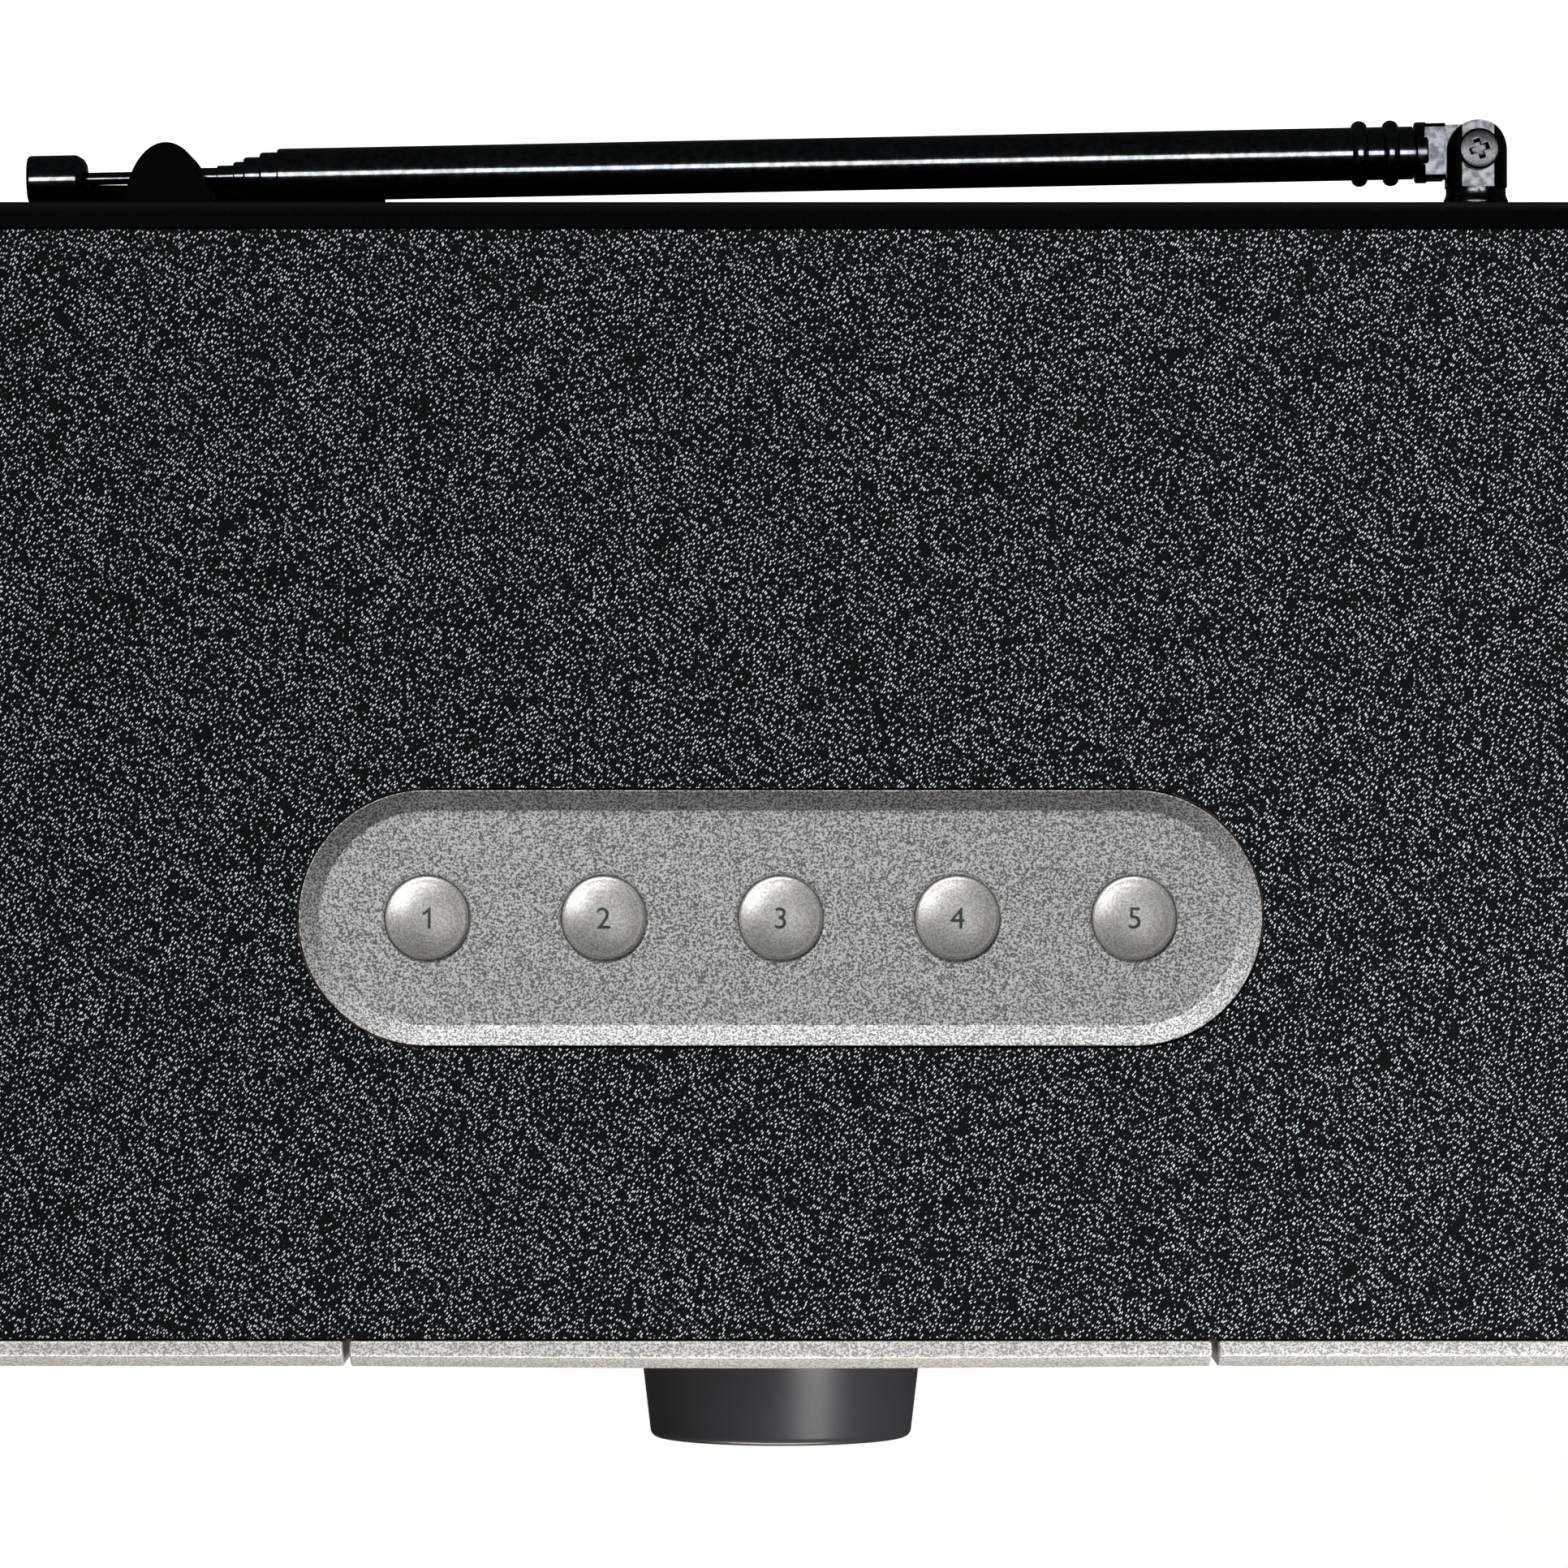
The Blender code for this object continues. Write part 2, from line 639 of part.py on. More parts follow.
def make_speaker(side, x):
    """Frame, magnet, surround and cone, turned about the cone's axis. Heights are from the baffle."""
    place = (x, -baffle_back, middle)
    sheet = 1.6 * MM
    shelf = -GAP - 2 * MM
    base_radius = MAGNET_RADIUS + 2 * MM
    coil_clear = COIL_RADIUS + 2.5 * MM
    frame = [
        (SPEAKER_OPENING + SPEAKER_FLANGE, -GAP),
        (SPEAKER_OPENING + SPEAKER_FLANGE, shelf),
        (SPEAKER_OPENING + sheet, shelf),
        (base_radius, -SPEAKER_DEPTH),
        (base_radius, -SPEAKER_DEPTH - sheet),
        (coil_clear, -SPEAKER_DEPTH - sheet),
        (coil_clear, -SPEAKER_DEPTH),
        (base_radius - sheet, -SPEAKER_DEPTH),
        (SPEAKER_OPENING, shelf),
        (SPEAKER_OPENING, -GAP),
    ]
    turned(f"speaker_frame_{side}", frame, STEEL, place, FORWARD, steps=SPEAKER_SIDES)

    magnet_top = -SPEAKER_DEPTH - sheet - GAP
    groove = (COIL_RADIUS - 2 * GAP, COIL_RADIUS + 4 * GAP)
    groove_floor = magnet_top - 9 * MM
    magnet = [
        (0, magnet_top),
        (groove[0], magnet_top),
        (groove[0], groove_floor),
        (groove[1], groove_floor),
        (groove[1], magnet_top),
        (MAGNET_RADIUS, magnet_top),
        (MAGNET_RADIUS, magnet_top - MAGNET_LENGTH),
        (0, magnet_top - MAGNET_LENGTH),
    ]
    turned(f"speaker_magnet_{side}", magnet, STEEL, place, FORWARD, steps=SPEAKER_SIDES)

    cone_radius = SPEAKER_OPENING - 6 * MM
    coil_outside = COIL_RADIUS + 2 * GAP
    throat = -SPEAKER_DEPTH * 0.65
    paper = 1 * MM
    cone = [
        (0, throat + 5 * MM),
        (COIL_RADIUS * 0.6, throat + 4 * MM),
        (coil_outside, throat + paper),
        (cone_radius, shelf + paper),
        (cone_radius, shelf),
        (coil_outside, throat),
        (coil_outside, groove_floor + CONE_EXCURSION + paper),
        (COIL_RADIUS, groove_floor + CONE_EXCURSION + paper),
        (COIL_RADIUS, throat),
        (COIL_RADIUS * 0.6, throat + 3 * MM),
        (0, throat + 4 * MM),
    ]
    turned(f"speaker_cone_{side}", cone, CONE_PAPER, place, FORWARD, steps=SPEAKER_SIDES)

    outer, inner = SPEAKER_OPENING - GAP, cone_radius + GAP
    roll_middle = ((outer + inner) / 2, shelf)
    roll = (outer - inner) / 2 - paper
    surround = [(outer, shelf + paper), (outer, shelf)]
    surround += arc(roll_middle, roll, 0, 180, 4)
    surround += [(inner, shelf), (inner, shelf + paper)]
    surround += arc(roll_middle, roll + paper, 145, 35, 2)
    turned(f"speaker_surround_{side}", surround, RUBBER, place, FORWARD, steps=SPEAKER_SIDES)


def rear_screw_places():
    """About the cabinet's middle, in the top and bottom walls of the sleeve."""
    up = HEIGHT / 2 - sleeve_inset - WALL / 2
    return rectangle(WIDTH - 2 * REAR_SCREW_FROM_SIDE, 2 * up)


def socket_places():
    return {"dc": -SOCKET_PITCH, "aux": 0, "headphone": SOCKET_PITCH}


def make_rear_cover():
    slab = prism([section(0)], rear_back, rear_face - REAR_EDGE)
    for share_in, share_out in ((0.13, 0.5), (0.37, 0.37), (0.5, 0.13)):
        slope_end(slab, REAR_EDGE * share_in, REAR_EDGE * share_out)
    cover = add_piece("rear_cover", slab, BLACK_PLASTIC, (0, 0, middle), REARWARD)

    ledge = new_cutter(
        "antenna_ledge",
        [rounded(LEDGE_TO - LEDGE_FROM, LEDGE_REACH + REAR_THICKNESS / 2, 1 * MM, steps=2)],
        pivot_z - CLIP_HEIGHT / 2 - GAP - LEDGE_THICKNESS,
        pivot_z - CLIP_HEIGHT / 2 - GAP,
        (
            pivot_x - (LEDGE_FROM + LEDGE_TO) / 2,
            rear_face + (LEDGE_REACH - REAR_THICKNESS / 2) / 2,
            0,
        ),
    )
    combine(cover, ledge, "UNION")

    through = [circle(SCREW_RADIUS + GAP, place, 12) for place in rear_screw_places()]
    through.append(circle(BUSH_RADIUS + GAP, (pivot_x, middle - pivot_z), 20))
    through += [
        circle(SOCKET_RADII[name] + GAP, (x, middle - SOCKET_HEIGHT), 16)
        for name, x in socket_places().items()
    ]
    holes = new_cutter("rear_holes", through, 0, SLEEVE_LENGTH, (0, 0, middle), REARWARD)
    sinks = new_cutter(
        "screw_sinks",
        [circle(SCREW_HEAD_RADIUS + GAP, place, 16) for place in rear_screw_places()],
        rear_face - SCREW_SINK,
        SLEEVE_LENGTH,
        (0, 0, middle),
        REARWARD,
    )
    combine(cover, holes)
    combine(cover, sinks)


def make_rear_screws():
    head = -SCREW_SINK + GAP
    profile = [
        (0, -GAP),
        (SCREW_HEAD_RADIUS * 0.7, -GAP),
        (SCREW_HEAD_RADIUS, head + 0.8 * MM),
        (SCREW_HEAD_RADIUS, head),
        (SCREW_RADIUS, head),
        (SCREW_RADIUS, head - SCREW_LENGTH),
        (0, head - SCREW_LENGTH),
    ]
    for number, (x, up) in enumerate(rear_screw_places(), 1):
        turned(
            f"rear_screw_{number}", profile, STEEL, (x, rear_face, middle + up), REARWARD, steps=12
        )


def make_sockets():
    """Three round sockets in the rear cover, on one board behind it."""
    for name, x in socket_places().items():
        outside, bore = SOCKET_RADII[name], SOCKET_BORES[name]
        floor = -SOCKET_DEPTH + 1.5 * MM
        profile = [(0, floor), (bore, floor)]
        if name == "dc":
            profile = [(0, -2 * MM), (1 * MM, -2 * MM), (1 * MM, floor), (bore, floor)]
        profile += [
            (bore, -GAP),
            (outside, -GAP),
            (outside, -SOCKET_DEPTH),
            (0, -SOCKET_DEPTH),
        ]
        place = (x, rear_face, SOCKET_HEIGHT)
        turned(f"{name}_socket", profile, BLACK_PLASTIC, place, REARWARD, steps=16)
    back = rear_face - SOCKET_DEPTH - GAP
    outside = rounded(2 * SOCKET_PITCH + 20 * MM, 22 * MM, INNER_RADIUS, steps=2)
    solid = prism([outside], back - BOARD_THICKNESS, back)
    add_piece("socket_board", solid, BOARD, (0, 0, SOCKET_HEIGHT), REARWARD)


def make_antenna_mount():
    """The bush holds the swivel's shaft. Heights are from the elbow's axis, towards the rear."""
    bore = 2.8 * MM
    collar = -PIVOT_STANDOFF + GAP
    inside = -PIVOT_STANDOFF - REAR_THICKNESS - GAP
    bush = [
        (7 * MM, collar + 1.3 * MM),
        (7 * MM, collar),
        (BUSH_RADIUS, collar),
        (BUSH_RADIUS, inside),
        (bore, inside),
        (bore, collar + 1.3 * MM),
    ]
    place = (pivot_x, pivot_y, pivot_z)
    turned("antenna_bush", bush, BLACK_PLASTIC, place, REARWARD, steps=20)

    seat = collar + 1.3 * MM + GAP
    shaft = bore - GAP
    stop = inside - GAP
    swivel = [
        (0, -FORK_RADIUS - 0.2 * MM),
        (FORK_RADIUS, -FORK_RADIUS - 0.2 * MM),
        (FORK_RADIUS, seat + 1.8 * MM),
        (FORK_RADIUS + 0.8 * MM, seat + 0.9 * MM),
        (FORK_RADIUS + 0.8 * MM, seat),
        (shaft, seat),
        (shaft, stop),
        (BUSH_RADIUS, stop),
        (BUSH_RADIUS, stop - 1.2 * MM),
        (0, stop - 1.2 * MM),
    ]
    body = turned("antenna_swivel", swivel, BLACK_CHROME, place, REARWARD, steps=20)
    half = FORK_RADIUS
    neck = -FORK_RADIUS - 1 * MM
    plan = [(half, neck), *arc((0, 0), FORK_RADIUS, 0, 180, 12), (-half, neck)]
    fork = new_cutter("swivel_fork", [plan], -half, half, place)
    slot_start = -FORK_RADIUS - BLOCK_CLEARANCE
    slot = new_cutter(
        "fork_slot",
        [[(-3 * half, slot_start), (3 * half, slot_start), (3 * half, 3 * half), (-3 * half, 3 * half)]],
        -FORK_SLOT / 2,
        FORK_SLOT / 2,
        place,
    )
    hole = new_cutter("fork_hole", [circle(SCREW_RADIUS + GAP, steps=16)], -2 * half, 2 * half, place)
    combine(body, fork, "UNION")
    combine(body, slot)
    combine(body, hole)

    head = half + GAP
    screw = [
        (0, head + 1.7 * MM),
        (2.2 * MM, head + 1.5 * MM),
        (3 * MM, head + 0.8 * MM),
        (3 * MM, head),
        (SCREW_RADIUS, head),
        (SCREW_RADIUS, -head),
        (2.6 * MM, -head),
        (2.6 * MM, -head - 1 * MM),
        (0, -head - 1 * MM),
    ]
    turned("antenna_screw", screw, BLACK_CHROME, place, steps=16)


def make_ferrule():
    """The elbow's inner half: a flat tongue, a block, a flange and a plug inside the first tube."""
    block = rectangle(flange_start + 0.5 * MM - block_start, BLOCK_WIDTH)
    length_middle = (flange_start + 0.5 * MM + block_start) / 2
    solid = prism([block], -BLOCK_WIDTH / 2, BLOCK_WIDTH / 2)
    ferrule = add_piece(
        "antenna_ferrule", solid, BLACK_CHROME, (-length_middle, 0, 0), parent=antenna_line
    )
    tongue_end = block_start + 0.5 * MM
    tongue = FORK_RADIUS - 0.2 * MM
    plan = [(-tongue_end, -tongue * 0.9), *arc((0, 0), tongue, -90, 90, 10), (-tongue_end, tongue * 0.9)]
    half = TONGUE_THICKNESS / 2
    combine(
        ferrule, new_cutter("ferrule_tongue", [plan], -half, half, parent=antenna_line), "UNION"
    )
    plug_radius = TUBE_RADII[0][1] * MM - GAP
    profile = [
        (0, PLUG_END),
        (plug_radius, PLUG_END),
        (plug_radius, tube_start - GAP),
        (FLANGE_RADIUS, tube_start - GAP),
        (FLANGE_RADIUS, flange_start),
        (0, flange_start),
    ]
    flange = turned(
        "ferrule_flange", profile, None, rotation=ALONG_ANTENNA, parent=antenna_line, steps=ANTENNA_SIDES
    )
    combine(ferrule, flange, "UNION")
    hole = new_cutter(
        "tongue_hole", [circle(SCREW_RADIUS + GAP, steps=16)], -FORK_RADIUS, FORK_RADIUS, parent=antenna_line
    )
    combine(ferrule, hole)


def tube_profile(number):
    """One telescopic tube. The first has two rolled beads near the elbow."""
    outside, inside = (radius * MM for radius in TUBE_RADII[number])
    end = TUBE_ENDS[number] * MM
    start = tube_start if number == 0 else TUBE_HIDDEN_START + (number - 1) * TUBE_HIDDEN_STEP
    rounding = min(0.4 * MM, (outside - inside) / 2)
    profile = [(outside - rounding, end), (outside, end - rounding)]
    if number == 0:
        for bead in reversed(BEADS):
            profile += [
                (outside, bead * MM + BEAD_WIDTH),
                (outside + BEAD_HEIGHT, bead * MM + BEAD_WIDTH / 3),
                (outside + BEAD_HEIGHT, bead * MM - BEAD_WIDTH / 3),
                (outside, bead * MM - BEAD_WIDTH),
            ]
    profile += [(outside, start), (inside, start), (inside, end)]
    return profile


def make_antenna():
    for number in range(len(TUBE_RADII)):
        turned(
            f"antenna_tube_{number + 1}",
            tube_profile(number),
            BLACK_CHROME,
            rotation=ALONG_ANTENNA,
            parent=antenna_line,
            steps=ANTENNA_SIDES,
        )
    rod_start = TUBE_HIDDEN_START + len(TUBE_RADII) * TUBE_HIDDEN_STEP
    rod_end = TIP_START + TIP_BORE - GAP
    rod = [(0, rod_end), (ROD_RADIUS, rod_end), (ROD_RADIUS, rod_start), (0, rod_start)]
    turned("antenna_rod", rod, BLACK_CHROME, rotation=ALONG_ANTENNA, parent=antenna_line, steps=ANTENNA_SIDES)
    tip_end = TIP_START + TIP_LENGTH
    shoulder = 1.2 * MM
    tip = [
        (0, tip_end),
        (TIP_RADIUS - 0.5 * MM, tip_end),
        (TIP_RADIUS, tip_end - 0.5 * MM),
        (TIP_RADIUS, TIP_START + shoulder),
        (TIP_RADIUS - 0.5 * shoulder, TIP_START + 0.3 * shoulder),
        (TIP_RADIUS - shoulder, TIP_START),
        (ROD_RADIUS + GAP, TIP_START),
        (ROD_RADIUS + GAP, TIP_START + TIP_BORE),
        (0, TIP_START + TIP_BORE),
    ]
    turned("antenna_tip", tip, BLACK_CHROME, rotation=ALONG_ANTENNA, parent=antenna_line, steps=ANTENNA_SIDES)


def make_clip():
    """A spring clip behind the cabinet: half an ellipse from above, with a channel open to the rear."""
    flare_end = 2 * MM
    steps = 14
    plan = [(CLIP_HALF_WIDTH + CLIP_FLARE, 0)]
    for step in range(steps + 1):
        turn = math.pi * step / steps
        along, out = CLIP_HALF_WIDTH * math.cos(turn), CLIP_REACH * math.sin(turn)
        if out >= flare_end:
            plan.append((along, out))
    plan.append((-CLIP_HALF_WIDTH - CLIP_FLARE, 0))
    place = (pivot_x - CLIP_ALONG, rear_face + GAP, pivot_z)
    solid = prism([plan], -CLIP_HEIGHT / 2, CLIP_HEIGHT / 2)
    clip = add_piece("antenna_clip", solid, BLACK_PLASTIC, place)
    bore = TUBE_RADII[0][1] * MM
    mouth_turn = math.degrees(math.asin(CLIP_MOUTH / 2 / bore))
    channel = arc((0, 0), bore, 90 + mouth_turn, 450 - mouth_turn, 18)
    channel += [(CLIP_MOUTH / 2, 3 * bore), (-CLIP_MOUTH / 2, 3 * bore)]
    half = CLIP_HALF_WIDTH + 2 * CLIP_FLARE
    cutter = new_cutter(
        "clip_channel",
        [channel],
        CLIP_ALONG - half,
        CLIP_ALONG + half,
        rotation=ALONG_ANTENNA,
        parent=antenna_line,
    )
    combine(clip, cutter)


clear_scene()
parts = new_collection("tabletop_radio")
cutters = new_collection("cutters")
radio = new_empty("radio", (0, shift, 0))
antenna_line = new_empty("antenna_line", (pivot_x, pivot_y, pivot_z), (0, 0, antenna_tilt), radio)

make_cabinet()
make_feet()
make_fascia()
make_baffle()
make_display()
make_main_board()
make_knob()
make_front_buttons()
make_preset_row()
for speaker_side, speaker_place in (("left", -speaker_x), ("right", speaker_x)):
    make_speaker(speaker_side, speaker_place)
make_rear_cover()
make_rear_screws()
make_sockets()
make_antenna_mount()
make_ferrule()
make_antenna()
make_clip()
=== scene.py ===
# %% [markdown]
# # A tabletop radio with a leatherette top and a telescopic antenna
#
# This lesson finishes a radio whose working parts already exist as plain solids. Every visible
# piece is modelled again here with real edges, holes and rounding, in the place that its solid
# holds, and then gets a finish made of shader nodes. The solids still carry the motion.

# %% Load the solids
import json
import math

import bmesh
import bpy
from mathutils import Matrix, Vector


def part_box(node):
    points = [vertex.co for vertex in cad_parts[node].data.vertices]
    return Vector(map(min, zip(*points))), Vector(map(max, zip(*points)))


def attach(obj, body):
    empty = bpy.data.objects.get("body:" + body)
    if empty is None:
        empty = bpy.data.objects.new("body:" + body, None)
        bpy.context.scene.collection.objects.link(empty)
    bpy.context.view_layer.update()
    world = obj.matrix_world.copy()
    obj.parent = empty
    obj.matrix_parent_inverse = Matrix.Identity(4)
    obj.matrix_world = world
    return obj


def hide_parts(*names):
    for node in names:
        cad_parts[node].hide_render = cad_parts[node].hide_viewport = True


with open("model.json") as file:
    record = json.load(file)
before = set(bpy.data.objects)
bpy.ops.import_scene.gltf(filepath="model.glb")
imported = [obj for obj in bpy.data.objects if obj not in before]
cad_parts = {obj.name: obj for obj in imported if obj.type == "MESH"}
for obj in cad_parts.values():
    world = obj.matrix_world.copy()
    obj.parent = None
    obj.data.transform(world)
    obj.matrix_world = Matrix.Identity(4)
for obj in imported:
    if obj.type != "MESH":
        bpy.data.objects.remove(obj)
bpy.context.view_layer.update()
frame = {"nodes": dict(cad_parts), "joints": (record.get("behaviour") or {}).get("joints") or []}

MM = 0.001
X, Y, Z = Vector((1, 0, 0)), Vector((0, 1, 0)), Vector((0, 0, 1))
joints = {joint["name"]: joint for joint in frame["joints"]}
print("solids:", len(frame["nodes"]), "joints:", len(joints))

# %% [markdown]
# ## The camera
#
# The radio is seen from straight above, from about a metre away. A long lens keeps the front
# strip narrow: with a wide one, much more of the front would show.

# %% Camera
CAMERA_DISTANCE = 1100 * MM
CAMERA_LENS = 176.3
CAMERA_SIDE = 0.5 * MM
wrap_low, wrap_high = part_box("leatherette_wrap")
cabinet_middle = (wrap_low + wrap_high) / 2
camera_place = (CAMERA_SIDE, cabinet_middle.y, wrap_high.z + CAMERA_DISTANCE)

bpy.ops.object.camera_add(location=camera_place, rotation=(0, 0, 0))
camera = bpy.context.object
camera.data.lens = CAMERA_LENS
bpy.context.scene.camera = camera
print("camera height:", round(camera.location.z, 3))

# %% [markdown]
# ## Tools for modelling
#
# The same few moves come back for every piece, so they are written once. A block starts as a
# cube whose corners are bevelled. A turned piece starts as a chain of edges, half of its
# section, which the spin operator carries round the Z axis. An operator works on whatever is
# selected, so each helper first deselects everything. A piece that repeats is made once at the
# origin, and `copies` sets down a copy with its own mesh at each place.


# %% Helpers: selecting and editing
def deselect():
    """Leave edit mode and select nothing."""
    if bpy.context.object and bpy.context.object.mode != "OBJECT":
        bpy.ops.object.mode_set(mode="OBJECT")
    bpy.ops.object.select_all(action="DESELECT")


def choose(piece):
    """Make the piece the only selected one and the active one."""
    deselect()
    bpy.context.view_layer.objects.active = piece
    piece.select_set(True)


def settle(piece):
    """Put the piece's place, turn and size into its mesh."""
    choose(piece)
    bpy.ops.object.transform_apply(location=True, rotation=True, scale=True)


def start_edit(piece, kind="FACE", wanted=None):
    """Edit the piece with only the wanted faces, edges or points selected."""
    choose(piece)
    bpy.ops.object.mode_set(mode="EDIT")
    bpy.ops.mesh.select_mode(type=kind)
    bpy.ops.mesh.select_all(action="DESELECT")
    if wanted:
        mesh = bmesh.from_edit_mesh(piece.data)
        mesh.normal_update()
        elements = {"FACE": mesh.faces, "EDGE": mesh.edges, "VERT": mesh.verts}[kind]
        for element in elements:
            if wanted(element):
                element.select_set(True)
        bmesh.update_edit_mesh(piece.data)


def end_edit():
    """Go back to object mode, which writes the edit into the mesh."""
    bpy.ops.object.mode_set(mode="OBJECT")


def facing(direction, limit=0.95):
    """A test for faces that look along a direction."""
    return lambda face: face.normal.dot(direction) > limit


def apply(piece, kind, **settings):
    """Add a modifier, set it and apply it."""
    modifier = piece.modifiers.new(kind.title(), kind)
    for setting, value in settings.items():
        setattr(modifier, setting, value)
    choose(piece)
    bpy.ops.object.modifier_apply(modifier=modifier.name)


def shade(piece, angle):
    """Shade the piece smooth, but keep every edge sharper than the angle."""
    choose(piece)
    bpy.ops.object.shade_smooth_by_angle(angle=math.radians(angle))


def soften(piece, width=0.25 * MM, segments=3, angle=30):
    """Round the sharp edges a little, as on any moulded or machined piece, and shade it smooth."""
    apply(
        piece,
        "BEVEL",
        width=width,
        segments=segments,
        limit_method="ANGLE",
        angle_limit=math.radians(angle),
        use_clamp_overlap=True,
    )
    shade(piece, angle + 8)
    apply(piece, "WEIGHTED_NORMAL", weight=90, keep_sharp=True)


def join(pieces):
    """Make one object of several."""
    choose(pieces[0])
    for piece in pieces[1:]:
        piece.select_set(True)
    bpy.ops.object.join()
    return pieces[0]


def carve(piece, *tools, operation="DIFFERENCE"):
    """Cut the piece with tools, or weld them on, all at once, and throw them away."""
    tool = join(tools)
    apply(piece, "BOOLEAN", object=tool, operation=operation, solver="EXACT")
    bpy.data.objects.remove(tool)


# %% Helpers: blocks and turned pieces
def block(name, low, high, corner=0, along=Z, segments=12):
    """A box between two corners, with the edges that run along one axis rounded."""
    low, high = Vector(low), Vector(high)
    bpy.ops.mesh.primitive_cube_add(size=1, location=(low + high) / 2, scale=high - low)
    piece = bpy.context.object
    piece.name = piece.data.name = name
    settle(piece)
    if corner:
        start_edit(
            piece,
            "EDGE",
            lambda edge: abs((edge.verts[0].co - edge.verts[1].co).normalized().dot(along)) > 0.99,
        )
        bpy.ops.mesh.bevel(offset=corner, segments=segments, affect="EDGES", clamp_overlap=True)
        bpy.ops.mesh.select_all(action="SELECT")
        bpy.ops.mesh.remove_doubles(threshold=0.03 * MM)
        end_edit()
    return piece


def step_face(piece, direction, steps):
    """Inset the faces that look along a direction. Each step is (inwards, outwards)."""
    start_edit(piece, "FACE", facing(direction))
    for inwards, outwards in steps:
        bpy.ops.mesh.inset(thickness=inwards, depth=outwards)
    end_edit()


def cylinder(name, radius, start, end, sides=48):
    """A plain cylinder between two points, used as a tool."""
    start, end = Vector(start), Vector(end)
    bpy.ops.mesh.primitive_cylinder_add(
        vertices=sides,
        radius=radius,
        depth=(end - start).length,
        location=(start + end) / 2,
        rotation=(end - start).to_track_quat("Z", "Y").to_euler(),
    )
    piece = bpy.context.object
    piece.name = name
    settle(piece)
    return piece


def turn(name, profile, place=(0, 0, 0), direction=Z, sides=64):
    """Spin half a section, given as (radius, height) points. A ring's section is closed first."""
    if profile[0][0] > 0:
        profile = [*profile, profile[0]]
    bpy.ops.mesh.primitive_plane_add(size=MM)
    piece = bpy.context.object
    piece.name = piece.data.name = name
    choose(piece)
    bpy.ops.object.mode_set(mode="EDIT")
    bpy.ops.mesh.select_all(action="SELECT")
    bpy.ops.mesh.merge(type="CENTER")
    bpy.ops.mesh.select_mode(type="VERT")
    bpy.ops.mesh.select_all(action="SELECT")
    bpy.ops.transform.translate(value=(profile[0][0], 0, profile[0][1]))
    for before, after in zip(profile, profile[1:]):
        step = (after[0] - before[0], 0, after[1] - before[1])
        bpy.ops.mesh.extrude_region_move(TRANSFORM_OT_translate={"value": step})
    bpy.ops.mesh.select_all(action="SELECT")
    bpy.ops.mesh.spin(steps=sides, angle=math.tau, center=(0, 0, 0), axis=(0, 0, 1))
    bpy.ops.mesh.select_all(action="SELECT")
    bpy.ops.mesh.remove_doubles(threshold=0.002 * MM)
    bpy.ops.mesh.normals_make_consistent(inside=False)
    end_edit()
    piece.rotation_euler = Vector(direction).to_track_quat("Z", "Y").to_euler()
    piece.location = place
    settle(piece)
    return piece


def dome(radius, crown, drop, points=7):
    """The points of a low dome from its crown out to a radius, where it is lower by drop."""
    sphere = (radius**2 + drop**2) / (2 * drop)
    outs = [radius * step / points for step in range(points + 1)]
    return [(out, crown - sphere + math.sqrt(sphere**2 - out**2)) for out in outs]


def copies(piece, places):
    """The piece once at each named place, each time with a mesh of its own."""
    twins = {}
    for key, place in places.items():
        choose(piece)
        bpy.ops.object.duplicate(linked=False)
        twin = bpy.context.object
        twin.name = twin.data.name = f"{piece.name}_{key}"
        twin.location = place
        settle(twin)
        twins[key] = twin
    bpy.data.objects.remove(piece)
    return twins


def finish(piece, body, material, slot, *nodes):
    """Give the piece its material, join it to a moving body and let it stand for its solids."""
    piece.data.materials.clear()
    piece.data.materials.append(material)
    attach(piece, body)
    if nodes:
        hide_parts(*nodes)


# %% [markdown]
# ## Sums in the shader
#
# A finish is a small calculation about the place on the surface. Written as nodes it is hard to
# read, so a Wire stands for one socket and overloads the operators: an expression such as
# `1 - mask * 0.5` adds the Math nodes by itself.


# %% Helpers: wires and finishes
class Wire:
    """One output socket, which adds a Math node for each operator used on it."""

    def __init__(self, finish_nodes, socket):
        self.finish_nodes = finish_nodes
        self.socket = socket

    def math(self, operation, *others):
        return self.finish_nodes.add("ShaderNodeMath", {"operation": operation}, [self, *others])

    def __add__(self, other):
        return self.math("ADD", other)

    def __mul__(self, other):
        return self.math("MULTIPLY", other)

    def __sub__(self, other):
        return self.math("SUBTRACT", other)

    def __rsub__(self, other):
        return self.finish_nodes.add("ShaderNodeMath", {"operation": "SUBTRACT"}, [other, self])

    __radd__ = __add__
    __rmul__ = __mul__

    def between(self, low, high):
        """0 below low, 1 above high and a smooth rise between."""
        values = {"Value": self, "From Min": low, "From Max": high}
        return self.finish_nodes.add(
            "ShaderNodeMapRange", {"interpolation_type": "SMOOTHSTEP"}, values
        )


